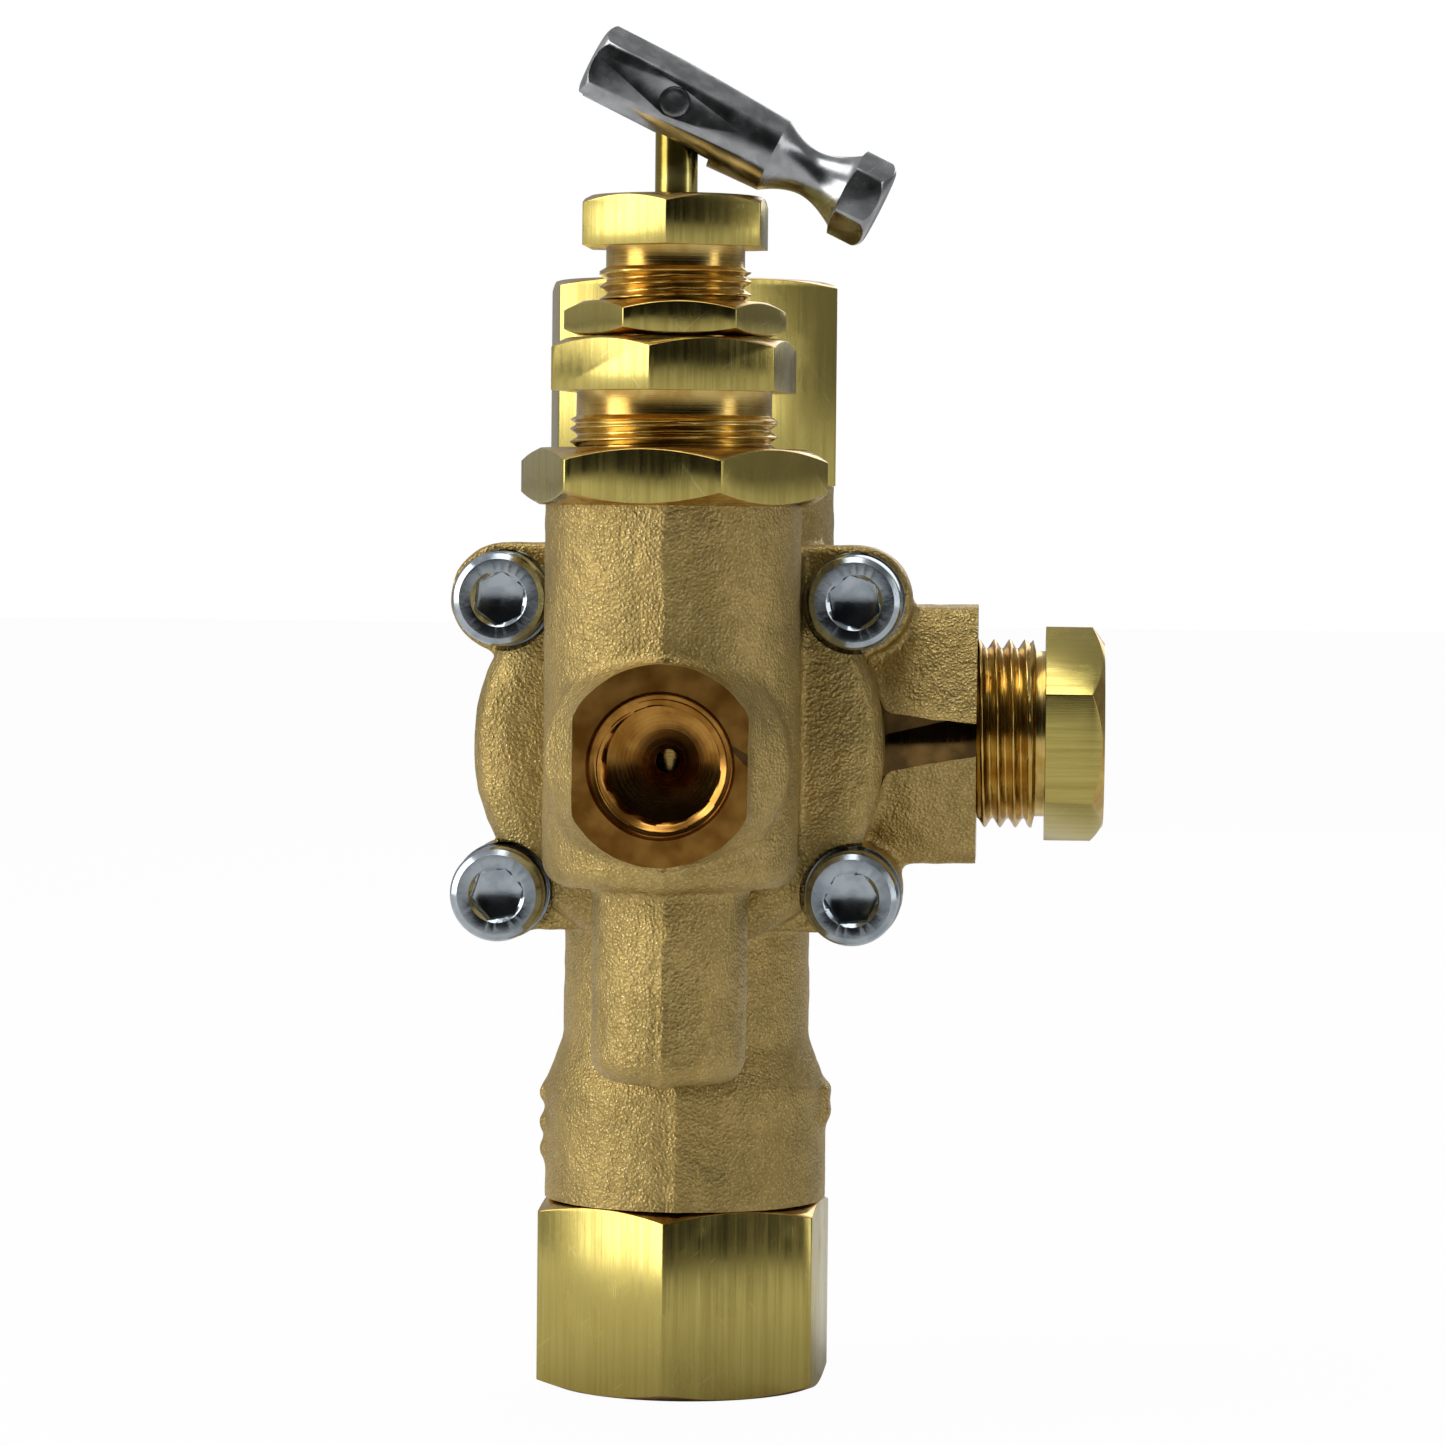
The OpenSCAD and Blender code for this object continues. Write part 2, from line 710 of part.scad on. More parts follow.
module adjusting_screw() {
    color(bar_brass) at_pilot(adjuster_bottom_z) difference() {
        union() {
            cylinder(h = adjuster_hex_z - adjuster_neck_l - adjuster_bottom_z, r = adjuster_thread_r);
            cylinder(h = adjuster_hex_z - adjuster_bottom_z + 1, r = adjuster_thread_r - 0.65);
            translate([0, 0, adjuster_hex_z - adjuster_bottom_z]) rotate([0, 0, 28.5])
                hex_bar(adjuster_hex_af, adjuster_hex_h, 0, 1);
        }
        translate([0, 0, -1]) cylinder(h = far, r = stem_d / 2 + slide_fit);
        translate([0, 0, 4]) cylinder(h = 1.4, r = stem_d / 2 + 1.2);
    }
}

module stem_o_ring() {
    color(rubber) at_pilot(adjuster_bottom_z + 4.7) o_ring(stem_d / 2 + slide_fit + 0.5, 0.48);
}

module adjuster_lock_nut() {
    color(bar_brass) at_pilot(adjuster_nut_z) difference() {
        rotate([0, 0, 6.2]) hex_bar(adjuster_nut_af, adjuster_nut_h, 0.6, 1);
        translate([0, 0, -1]) cylinder(h = far, r = adjuster_thread_r + fit);
    }
}

module upper_spring_seat() {
    color(steel) at_pilot(upper_seat_z) difference() {
        union() {
            cylinder(h = upper_seat_t, r = adjuster_thread_r - 0.4);
            translate([0, 0, -1]) cylinder(h = 2, r = 3.4);
        }
        translate([0, 0, -2]) cylinder(h = far, r = stem_d / 2 + 0.15);
    }
}

module range_spring() {
    z = lower_seat_z + lower_seat_t;
    color(steel) at_pilot(z + 0.02) coil_spring(4.4, 0.75, 7, upper_seat_z - z - 0.04);
}

module lower_spring_seat() {
    color(steel) at_pilot(lower_seat_z) difference() {
        union() {
            cylinder(h = lower_seat_t, r = pilot_bore_r - slide_fit);
            cylinder(h = lower_seat_t + 2, r = 3.4);
        }
        translate([0, 0, 1]) cylinder(h = far, r = stem_d / 2 + 0.02);
        for (a = [0:90:270]) rotate([0, 0, a]) translate([5.4, 0, -1]) cylinder(h = 2 + lower_seat_t, r = 0.6);
    }
}

module pilot_ball() {
    color(steel) at_pilot(ball_z) sphere(r = ball_d / 2);
}

module pilot_seat() {
    color(bar_brass) at_pilot(pilot_seat_z) difference() {
        union() {
            cylinder(h = pilot_seat_t, r = pilot_bore_r - fit);
            translate([0, 0, -tail_l]) cylinder(h = tail_l + 1, r = tail_r);
        }
        translate([0, 0, -tail_l - 1]) cylinder(h = far, r = pilot_hole_r);
        translate([0, 0, 1.2]) tube(far, pilot_bore_r - 1.2, 1.7);
    }
}

module pilot_seat_o_ring() {
    color(rubber) at_pilot(pilot_seat_z + 2.05) o_ring(pilot_bore_r - 0.62, 0.56);
}

module pilot_strainer() {
    color("peru") at_pilot(strainer_z) difference() {
        domed_disc(strainer_r, strainer_top_z - strainer_z, 0.6);
        translate([0, 0, 1]) cylinder(h = far, r = tail_r - 0.6);
        translate([0, 0, strainer_top_z - strainer_z - 2.1]) cylinder(h = far, r = tail_r + fit);
    }
}

module pilot_stem() {
    top = pin_z + stem_d / 2;
    color("khaki") difference() {
        union() {
            at_pilot(lower_seat_z + 1.05) cylinder(h = pin_z - lower_seat_z - 1.05, r = stem_d / 2);
            intersection() {
                at_pilot(pin_z - 1) cylinder(h = top - pin_z + 1, r = stem_d / 2);
                translate([0, -pilot_y + far, pin_z]) rotate([90, 0, 0]) cylinder(h = 2 * far, r = stem_d / 2);
            }
        }
        translate([0, -pilot_y + far, pin_z]) rotate([90, 0, 0]) cylinder(h = 2 * far, r = pin_d / 2 + slide_fit);
    }
}

// ---- Toggle lever ----

// Turned outline of the lever along its length, from the cam end, as [radius, distance].
function lever_outline() = concat(
    [[0, 0], [lever_corner_r - lever_end_round, 0]],
    [for (a = [30:30:90]) [lever_corner_r - lever_end_round * (1 - sin(a)), lever_end_round * (1 - cos(a))]],
    [for (i = [0:8]) let (u = i / 4 - 1)
        [lever_neck_d / 2 + (lever_corner_r - 0.7 - lever_neck_d / 2) * u * u, lever_body_l + lever_neck_l * i / 8]],
    [[lever_corner_r, lever_body_l + lever_neck_l + 0.3]],
    [for (a = [0:30:90]) [lever_corner_r - knob_round * (1 - cos(a)), lever_l - knob_round * (1 - sin(a))]],
    [[0, lever_l]]
);

module place_lever() {
    translate([0, -pilot_y, pin_z]) rotate([0, lever_tilt, 0]) children();
}

module toggle_lever() {
    slot_top = 2.6;
    step_x = 5.7;
    color(steel) place_lever() difference() {
        translate([-lever_pin_x, 0, 0]) rotate([0, 90, 0]) intersection() {
            cylinder(h = lever_l, r = lever_corner_r, $fn = 6);
            rotate_extrude() polygon(lever_outline());
        }
        translate([-far + lever_slot_end, -lever_slot_w / 2, slot_top - far]) cube([far, lever_slot_w, far]);
        translate([-far + step_x, -far, lever_corner_r - 0.3]) cube([far, 2 * far, far]);
        rotate([90, 0, 0]) cylinder(h = far, r = pin_d / 2 + 0.01, center = true);
        for (s = [-1, 1]) rotate([90, 0, 0]) translate([0, 0, s * lever_af / 2])
            cylinder(h = 1.6, r = pin_head_r + 0.01, center = true);
    }
}

module toggle_pin() {
    color(steel) place_lever() rotate([90, 0, 0]) {
        cylinder(h = lever_af, r = pin_d / 2, center = true);
        for (s = [-1, 1]) translate([0, 0, s * (lever_af / 2 - 0.25)])
            cylinder(h = 1.1, r = pin_head_r, center = true);
    }
}

// ---- Exhaust ----

module exhaust_fitting() {
    color(bar_brass) difference() {
        union() {
            to_side(fitting_inner, exhaust_z) cylinder(h = fitting_hex_x - 1.3 - fitting_inner, r = fitting_thread_r);
            to_side(fitting_inner, exhaust_z) cylinder(h = fitting_hex_x - fitting_inner + 1, r = fitting_thread_r - 1.2);
            to_side(fitting_hex_x, exhaust_z) rotate([0, 0, fitting_turn]) hex_bar(fitting_hex_af, fitting_hex_l, 0, 1);
        }
        to_side(fitting_inner - 1, exhaust_z) cylinder(h = far, r = fitting_bore_d / 2);
        to_side(fitting_inner - 1, exhaust_z) cylinder(h = screen_seat_x - fitting_inner + 1, r = screen_seat_r);
        to_side(screen_seat_x - 0.01, exhaust_z)
            cylinder(h = 1.01, r1 = screen_seat_r - 0.3, r2 = fitting_bore_d / 2 - 0.01);
    }
}

module exhaust_screen() {
    color(steel) to_side(screen_seat_x - screen_t - 0.02, exhaust_z) difference() {
        cylinder(h = screen_t, r = screen_seat_r - fit);
        for (a = [0:60:300]) rotate([0, 0, a]) translate([3.3, 0, -1]) cylinder(h = 3, r = 0.9);
        translate([0, 0, -1]) cylinder(h = 3, r = 0.9);
    }
}

main_body();
inlet_adapter();
inlet_o_ring();
outlet_adapter();
outlet_o_ring();
check_guide();
check_retaining_ring();
check_poppet();
check_disc();
check_disc_screw();
check_spring();
unloader_seat();
unloader_poppet();
unloader_poppet_seal();
unloader_spring();
unloader_piston();
piston_o_ring();
chamber_o_ring();
pilot_casting();
cap_screws();
lock_washers();
pilot_bonnet();
bonnet_lock_nut();
adjusting_screw();
adjuster_lock_nut();
stem_o_ring();
upper_spring_seat();
range_spring();
lower_spring_seat();
pilot_ball();
pilot_seat();
pilot_seat_o_ring();
pilot_strainer();
pilot_stem();
toggle_lever();
toggle_pin();
exhaust_fitting();
exhaust_screen();
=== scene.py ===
# %% [markdown]
# # Three way valve
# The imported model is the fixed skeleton: every piece below is placed from its boxes, so nothing
# has to be fitted by eye. Lengths are written in millimetres, as a fitter would say them, and
# turned into metres once, when a mesh is finished.

import math

import bmesh
import bpy
from mathutils import Matrix, Vector, noise


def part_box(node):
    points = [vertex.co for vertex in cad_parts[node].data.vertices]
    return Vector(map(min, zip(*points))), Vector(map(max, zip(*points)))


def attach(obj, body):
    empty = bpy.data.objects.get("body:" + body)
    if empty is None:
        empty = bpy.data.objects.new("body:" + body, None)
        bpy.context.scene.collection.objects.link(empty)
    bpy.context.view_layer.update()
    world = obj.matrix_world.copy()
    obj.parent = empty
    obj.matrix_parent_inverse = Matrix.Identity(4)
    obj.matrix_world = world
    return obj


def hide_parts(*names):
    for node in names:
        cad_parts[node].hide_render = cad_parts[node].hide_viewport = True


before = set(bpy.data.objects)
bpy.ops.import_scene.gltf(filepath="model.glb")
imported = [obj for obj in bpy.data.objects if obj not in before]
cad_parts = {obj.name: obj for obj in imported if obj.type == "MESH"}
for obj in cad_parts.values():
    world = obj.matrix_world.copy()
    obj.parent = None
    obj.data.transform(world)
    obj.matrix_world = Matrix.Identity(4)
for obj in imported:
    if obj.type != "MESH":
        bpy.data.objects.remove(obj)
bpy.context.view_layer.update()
MM = 0.001
scene = bpy.context.scene


def low(node):
    """Lowest corner of a CAD node in millimetres."""
    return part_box(node)[0] / MM


def high(node):
    """Highest corner of a CAD node in millimetres."""
    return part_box(node)[1] / MM


def middle(node):
    """Centre of a CAD node's box in millimetres."""
    return (low(node) + high(node)) / 2


# %% [markdown]
# ## Camera
# A long lens stands a little to the right of the valve's front, at the height of the pilot, and
# is turned a touch about its own axis. It comes first, so that every piece is judged in its view.

# %% Camera
LENS_MM = 134.6
CAMERA_AT = Vector((32.95, -563.1, 90.5)) * MM
AZIMUTH, ELEVATION, ROLL = (math.radians(a) for a in (2.995, 2.175, 0.557))

back = Vector((math.sin(AZIMUTH) * math.cos(ELEVATION),
               -math.cos(AZIMUTH) * math.cos(ELEVATION), math.sin(ELEVATION)))
level = Vector((math.cos(AZIMUTH), math.sin(AZIMUTH), 0))
upright = back.cross(level)
right = level * math.cos(ROLL) + upright * math.sin(ROLL)
up = upright * math.cos(ROLL) - level * math.sin(ROLL)
camera_data = bpy.data.cameras.new("camera")
camera_data.lens = LENS_MM
camera_data.sensor_width = 36
camera_data.clip_start = 0.05
camera = bpy.data.objects.new("camera", camera_data)
turn = Matrix((right, up, back)).transposed().to_4x4()
camera.matrix_world = Matrix.Translation(CAMERA_AT) @ turn
scene.collection.objects.link(camera)
scene.camera = camera
print("camera stands", round(CAMERA_AT.length / MM), "mm from the origin")

# %% [markdown]
# ## Shader groups
# Each effect that several metals share is one node group: the blasted grain of sand castings,
# the lines that a die leaves along drawn bar, the rings that a tool leaves on turned faces, and
# stains with fine scratches. A group only puts out values, and each material places it with its
# own numbers.


# %% A small kit for shader nodes
def colour(text):
    """Linear colour from the usual hex notation."""
    parts = [int(text[i:i + 2], 16) / 255 for i in (1, 3, 5)]
    return tuple(p / 12.92 if p <= 0.04045 else ((p + 0.055) / 1.055) ** 2.4 for p in parts) + (1,)


def add_node(tree, kind, links=None, **settings):
    """New node. Settings are its properties, and links maps a socket to a value or to a socket."""
    node = tree.nodes.new(kind)
    for key, value in settings.items():
        setattr(node, key, value)
    for key, value in (links or {}).items():
        if isinstance(value, bpy.types.NodeSocket):
            tree.links.new(value, node.inputs[key])
        else:
            node.inputs[key].default_value = value
    return node


def maths(tree, operation, a, b=0.0):
    """Result of one Math node."""
    return add_node(tree, "ShaderNodeMath", {0: a, 1: b}, operation=operation).outputs[0]


def spread(tree, value, low_in, high_in, low_out=0.0, high_out=1.0):
    """Value moved from one range to another, smoothly, and held at its ends."""
    links = {"Value": value, "From Min": low_in, "From Max": high_in, "To Min": low_out, "To Max": high_out}
    return add_node(tree, "ShaderNodeMapRange", links, interpolation_type="SMOOTHSTEP").outputs["Result"]


def noise_value(tree, vector, scale, detail=3.0, roughness=0.5):
    """Factor of a Noise Texture."""
    links = {"Vector": vector, "Scale": scale, "Detail": detail, "Roughness": roughness}
    return add_node(tree, "ShaderNodeTexNoise", links).outputs["Fac"]


def new_group(name, inputs, outputs):
    """Empty shader group with named float or vector sockets, as (tree, its inputs, its output node)."""
    tree = bpy.data.node_groups.new(name, "ShaderNodeTree")
    for label, kind, value in inputs:
        socket = tree.interface.new_socket(label, in_out="INPUT", socket_type=kind)
        if value is not None:
            socket.default_value = value
    for label in outputs:
        tree.interface.new_socket(label, in_out="OUTPUT", socket_type="NodeSocketFloat")
    entry = tree.nodes.new("NodeGroupInput")
    leave = tree.nodes.new("NodeGroupOutput")
    return tree, entry.outputs, leave


FLOAT = "NodeSocketFloat"
VECTOR = "NodeSocketVector"


# %% Blasted grain of a sand casting
def make_cast_grain():
    """Height, sparkle and tone of a blasted casting."""
    inputs = [("Vector", VECTOR, None), ("Grain", FLOAT, 2400.0), ("Pits", FLOAT, 620.0)]
    tree, entry, leave = new_group("cast grain", inputs, ("Height", "Sparkle", "Tone"))
    fine = noise_value(tree, entry["Vector"], entry["Grain"], 2.0, 0.6)
    cells = add_node(tree, "ShaderNodeTexVoronoi", {"Vector": entry["Vector"], "Scale": entry["Grain"]})
    pits = noise_value(tree, entry["Vector"], entry["Pits"], 3.0, 0.6)
    lumps = noise_value(tree, entry["Vector"], maths(tree, "MULTIPLY", entry["Pits"], 0.24), 2.0)
    height = maths(tree, "ADD", maths(tree, "MULTIPLY", fine, 0.6), maths(tree, "MULTIPLY", pits, 0.9))
    height = maths(tree, "ADD", height, maths(tree, "MULTIPLY", cells.outputs["Distance"], -0.35))
    tree.links.new(height, leave.inputs["Height"])
    tree.links.new(spread(tree, cells.outputs["Distance"], 0.55, 0.15), leave.inputs["Sparkle"])
    tone = maths(tree, "ADD", maths(tree, "MULTIPLY", lumps, 0.6), maths(tree, "MULTIPLY", pits, 0.4))
    tree.links.new(spread(tree, tone, 0.25, 0.75), leave.inputs["Tone"])
    return tree


cast_grain = make_cast_grain()


# %% Lines of drawn bar
def make_draw_lines():
    """Height, tone and stain of drawn bar."""
    inputs = [("Vector", VECTOR, None), ("Fineness", FLOAT, 1.0)]
    tree, entry, leave = new_group("draw lines", inputs, ("Height", "Tone", "Stain"))
    thin = noise_value(tree, entry["Vector"], maths(tree, "MULTIPLY", entry["Fineness"], 9.0), 4.0, 0.7)
    broad = noise_value(tree, entry["Vector"], maths(tree, "MULTIPLY", entry["Fineness"], 1.6), 2.0, 0.5)
    tree.links.new(thin, leave.inputs["Height"])
    tone = maths(tree, "ADD", maths(tree, "MULTIPLY", thin, 0.45), maths(tree, "MULTIPLY", broad, 0.55))
    tree.links.new(spread(tree, tone, 0.3, 0.7), leave.inputs["Tone"])
    tree.links.new(spread(tree, broad, 0.66, 0.8), leave.inputs["Stain"])
    return tree


draw_lines = make_draw_lines()


# %% Fine scratches and handling stains
def make_scratches():
    """Thin straight scratches and soft stains."""
    inputs = [("Vector", VECTOR, None), ("Size", FLOAT, 220.0), ("Amount", FLOAT, 0.5)]
    tree, entry, leave = new_group("scratches", inputs, ("Scratch", "Stain"))
    cloud = add_node(tree, "ShaderNodeTexNoise", {"Vector": entry["Vector"], "Scale": entry["Size"]})
    masks = []
    for angle, stretch in ((0.6, 14.0), (-0.9, 18.0)):
        turned = add_node(tree, "ShaderNodeVectorRotate", {"Vector": entry["Vector"], "Angle": angle},
                          rotation_type="Y_AXIS").outputs[0]
        long = add_node(tree, "ShaderNodeVectorMath", {0: turned, 1: (stretch, 1.0, 1.0)},
                        operation="MULTIPLY").outputs[0]
        line = noise_value(tree, long, entry["Size"], 2.0, 0.4)
        masks.append(spread(tree, line, 0.7, 0.76))
    both = maths(tree, "MAXIMUM", masks[0], masks[1])
    tree.links.new(maths(tree, "MULTIPLY", both, entry["Amount"]), leave.inputs["Scratch"])
    tree.links.new(spread(tree, cloud.outputs["Fac"], 0.52, 0.72), leave.inputs["Stain"])
    return tree


scratches = make_scratches()
print("shader groups:", [g.name for g in bpy.data.node_groups])

# %% [markdown]
# ## Metals
# Brass is a plain metal whose colour is the tint of its reflections. What tells a casting from
# drawn bar or a turned neck is how rough it is and which way its marks run, so the same few
# steps make every metal: a tint between two tones, a roughness, and a bump.


# %% A metal from its tones, roughness and marks
def metal(name, light, rough, metallic=1.0):
    """Empty metal and its pieces: (material, tree, shader, object coordinates)."""
    material = bpy.data.materials.new(name)
    material.use_nodes = True
    tree = material.node_tree
    shader = tree.nodes["Principled BSDF"]
    shader.inputs["Metallic"].default_value = metallic
    shader.inputs["Roughness"].default_value = rough
    shader.inputs["Base Color"].default_value = light
    place = tree.nodes.new("ShaderNodeTexCoord").outputs["Object"]
    return material, tree, shader, place


def tint(tree, factor, first, second):
    """Mix of two colours by a factor."""
    node = tree.nodes.new("ShaderNodeMix")
    node.data_type = "RGBA"
    for socket, value in ((node.inputs[0], factor), (node.inputs[6], first), (node.inputs[7], second)):
        if isinstance(value, bpy.types.NodeSocket):
            tree.links.new(value, socket)
        else:
            socket.default_value = value
    return node.outputs[2]


def bump_from(tree, height, distance, shader, strength=1.0):
    """Height as a bump of so many millimetres on the shader's normal."""
    node = add_node(tree, "ShaderNodeBump", {"Height": height, "Distance": distance * MM, "Strength": strength})
    tree.links.new(node.outputs["Normal"], shader.inputs["Normal"])


def use_group(tree, group, **values):
    """One placed copy of a shader group."""
    node = tree.nodes.new("ShaderNodeGroup")
    node.node_tree = group
    for key, value in values.items():
        if isinstance(value, bpy.types.NodeSocket):
            tree.links.new(value, node.inputs[key])
        else:
            node.inputs[key].default_value = value
    return node.outputs


def stretched(tree, place, size):
    """Object coordinates in cells of the given millimetres along X, Y and Z."""
    scale = tuple(1 / (s * MM) for s in size)
    return add_node(tree, "ShaderNodeMapping", {"Vector": place, "Scale": scale}).outputs[0]


# %% Sand cast brass
def make_cast_brass(name, dark, light, grain):
    """Blasted casting with a given fineness of grain."""
    material, tree, shader, place = metal(name, light, 0.5)
    marks = use_group(tree, cast_grain, Vector=place, Grain=grain)
    base = tint(tree, marks["Tone"], dark, light)
    glint = tint(tree, maths(tree, "MULTIPLY", marks["Sparkle"], 0.22), base, colour("#E9D9A8"))
    tree.links.new(glint, shader.inputs["Base Color"])
    tree.links.new(spread(tree, marks["Sparkle"], 0, 1, 0.5, 0.3), shader.inputs["Roughness"])
    bump_from(tree, marks["Height"], 0.22, shader, 1.0)
    return material


cast_brass = make_cast_brass("cast brass", colour("#A08A52"), colour("#C2A768"), 3000.0)


# %% Drawn bar and turned brass, and milled brass whose dark tint is a painted dark reflection
def make_bar_brass(name, along, dark, light, rough=0.2):
    """Brass bar with its die lines along one axis, 0 for X and 2 for Z."""
    material, tree, shader, place = metal(name, light, rough)
    size = [0.9, 0.9, 0.9]
    size[along] = 60.0
    lines = use_group(tree, draw_lines, Vector=stretched(tree, place, size))
    wear = use_group(tree, scratches, Vector=place, Size=190.0, Amount=0.5)
    base = tint(tree, lines["Tone"], dark, light)
    base = tint(tree, maths(tree, "MULTIPLY", lines["Stain"], 0.3), base, colour("#7A6C3C"))
    base = tint(tree, maths(tree, "MULTIPLY", wear["Scratch"], 0.5), base, colour("#EFE2B0"))
    tree.links.new(base, shader.inputs["Base Color"])
    rough_now = maths(tree, "ADD", spread(tree, lines["Tone"], 0, 1, rough + 0.06, rough - 0.05),
                      maths(tree, "MULTIPLY", wear["Stain"], 0.08))
    tree.links.new(rough_now, shader.inputs["Roughness"])
    height = maths(tree, "ADD", lines["Height"], maths(tree, "MULTIPLY", wear["Scratch"], -0.6))
    bump_from(tree, height, 0.008, shader, 0.6)
    return material


def make_turned_brass(name, along, dark, light, rough=0.2):
    """Brass turned on a lathe: fine rings across the axis of the work."""
    material, tree, shader, place = metal(name, light, rough)
    size = [40.0, 40.0, 40.0]
    size[along] = 0.12
    rings = noise_value(tree, stretched(tree, place, size), 1.0, 3.0, 0.6)
    cloud = noise_value(tree, place, 320.0, 3.0)
    tree.links.new(tint(tree, spread(tree, cloud, 0.35, 0.7), dark, light), shader.inputs["Base Color"])
    tree.links.new(spread(tree, rings, 0.3, 0.7, rough - 0.05, rough + 0.1), shader.inputs["Roughness"])
    bump_from(tree, rings, 0.012, shader, 0.6)
    return material


bar_dark, bar_light = colour("#AD9C54"), colour("#C4B468")
bar_brass = make_bar_brass("bar brass", 2, bar_dark, bar_light)
bar_brass_side = make_bar_brass("bar brass side", 0, bar_dark, bar_light)
turned_brass = make_turned_brass("turned brass", 2, colour("#B8934A"), colour("#D9BC72"))
turned_brass_side = make_turned_brass("turned brass side", 0, colour("#B8934A"), colour("#D9BC72"))
# Turned along the front axis, in darker and more orange tones than turned brass: painted shade of the tapped port's
# recess and of the chamber's inner pieces.
turned_brass_front_shaded = make_turned_brass("turned brass front shaded", 1, colour("#8A5C22"), colour("#B98842"))
# Milled faces: the very dark brown tones are a painted dark reflection, standing in for the dark that these flat
# faces mirror.
milled_brass_painted_dark = make_turned_brass("milled brass painted dark", 0, colour("#4E3C22"), colour("#7A5E36"), 0.12)


# %% Steels, rubber and sintered bronze
def make_plated(name, dark, light, rough, scratch_amount, grain_mm=0.5, bump_mm=0.01):
    """Plated or polished steel: cloudy tone, thin scratches, a little orange peel."""
    material, tree, shader, place = metal(name, light, rough)
    cloud = noise_value(tree, place, 1 / (4 * grain_mm * MM), 3.0)
    peel = noise_value(tree, place, 1 / (grain_mm * MM), 2.0)
    wear = use_group(tree, scratches, Vector=place, Size=260.0, Amount=scratch_amount)
    base = tint(tree, spread(tree, cloud, 0.35, 0.65), dark, light)
    base = tint(tree, wear["Scratch"], base, colour("#E4E6E6"))
    tree.links.new(base, shader.inputs["Base Color"])
    tree.links.new(spread(tree, cloud, 0.3, 0.7, rough - 0.03, rough + 0.04), shader.inputs["Roughness"])
    height = maths(tree, "ADD", peel, maths(tree, "MULTIPLY", wear["Scratch"], -0.8))
    bump_from(tree, height, bump_mm, shader, 0.6)
    return material


screw_zinc = make_plated("screw zinc", colour("#98A2AA"), colour("#B4BCC2"), 0.16, 0.12)
lever_steel = make_plated("lever steel", colour("#9A9C9E"), colour("#B2B4B6"), 0.24, 0.35)
yellow_zinc = make_plated("yellow zinc", colour("#8C7A34"), colour("#D8CC7C"), 0.2, 0.2, 1.4)
spring_steel = make_plated("spring steel", colour("#6C6E72"), colour("#A4A6AA"), 0.3, 0.1)


def make_rubber():
    """Matt black rubber with a light bloom."""
    material, tree, shader, place = metal("seal rubber", colour("#1B1B1C"), 0.6, metallic=0.0)
    bloom = noise_value(tree, place, 420.0, 4.0)
    tree.links.new(tint(tree, spread(tree, bloom, 0.4, 0.8), colour("#161617"), colour("#343434")),
                   shader.inputs["Base Color"])
    bump_from(tree, noise_value(tree, place, 5200.0, 2.0), 0.02, shader, 0.5)
    return material


rubber = make_rubber()
sintered_bronze = make_cast_brass("sintered bronze", colour("#7C5230"), colour("#B98A58"), 3600.0)
print("materials:", len(bpy.data.materials))

# %% [markdown]
# ## Turning, hex bar and cutting
# Almost every piece of a valve comes off a lathe or is sawn from hex bar, so two makers do most
# of the work: one spins an outline about Z, the other extrudes a hexagon. Threads are pressed
# into a spun wall by moving its points in and out along a helix, which keeps the mesh closed.


# %% Makers in millimetres
def turned(outline, steps=96):
    """Closed solid spun about Z from an outline of (radius, height) points. A ring's outline closes itself."""
    bm = bmesh.new()
    verts = [bm.verts.new((r, 0, z)) for r, z in outline]
    pairs = list(zip(verts, verts[1:]))
    if outline[0][0] > 0:
        pairs.append((verts[-1], verts[0]))
    for a, b in pairs:
        bm.edges.new((a, b))
    bmesh.ops.spin(bm, geom=bm.verts[:] + bm.edges[:], cent=(0, 0, 0), axis=(0, 0, 1),
                   angle=math.tau, steps=steps, use_merge=True)
    bmesh.ops.remove_doubles(bm, verts=bm.verts, dist=1e-4)
    bmesh.ops.recalc_face_normals(bm, faces=bm.faces)
    return bm


def hex_bar(across, z0, z1, edge=0.12):
    """Hexagonal bar about Z with its long edges broken."""
    bm = bmesh.new()
    base = bmesh.ops.create_circle(bm, cap_ends=True, segments=6, radius=across / math.sqrt(3))
    bmesh.ops.translate(bm, verts=base["verts"], vec=(0, 0, z0))
    pushed = bmesh.ops.extrude_face_region(bm, geom=bm.faces[:])
    tops = [g for g in pushed["geom"] if isinstance(g, bmesh.types.BMVert)]
    bmesh.ops.translate(bm, verts=tops, vec=(0, 0, z1 - z0))
    sides = [e for e in bm.edges if abs(e.verts[0].co.z - e.verts[1].co.z) > 1e-3]
    bmesh.ops.bevel(bm, geom=sides, offset=edge, segments=2, affect="EDGES", profile=0.5, material=-1)
    bmesh.ops.rotate(bm, verts=bm.verts, matrix=Matrix.Rotation(math.pi / 2, 3, "Z"))
    bmesh.ops.recalc_face_normals(bm, faces=bm.faces)
    return bm


def rod(radius, z0, z1, steps=64):
    """Plain cylinder about Z."""
    return turned([(0, z0), (radius, z0), (radius, z1), (0, z1)], steps)


def block(x0, x1, y0, y1, z0, z1):
    """Box between two corners."""
    bm = bmesh.new()
    bmesh.ops.create_cube(bm, size=1)
    bmesh.ops.scale(bm, verts=bm.verts, vec=(x1 - x0, y1 - y0, z1 - z0))
    bmesh.ops.translate(bm, verts=bm.verts, vec=((x0 + x1) / 2, (y0 + y1) / 2, (z0 + z1) / 2))
    return bm


def placed(bm, move=(0, 0, 0), axis="Z", turn=0.0, flip=False):
    """The shape turned about Z, laid along an axis (Z, X or the front, -Y), and moved."""
    spin_by = Matrix.Rotation(turn, 4, "Z")
    lay = {"Z": Matrix.Identity(4), "X": Matrix.Rotation(math.pi / 2, 4, "Y"),
           "F": Matrix.Rotation(math.pi / 2, 4, "X")}[axis]
    over = Matrix.Rotation(math.pi, 4, "X") if flip else Matrix.Identity(4)
    bmesh.ops.transform(bm, verts=bm.verts, matrix=Matrix.Translation(move) @ lay @ over @ spin_by)
    return bm


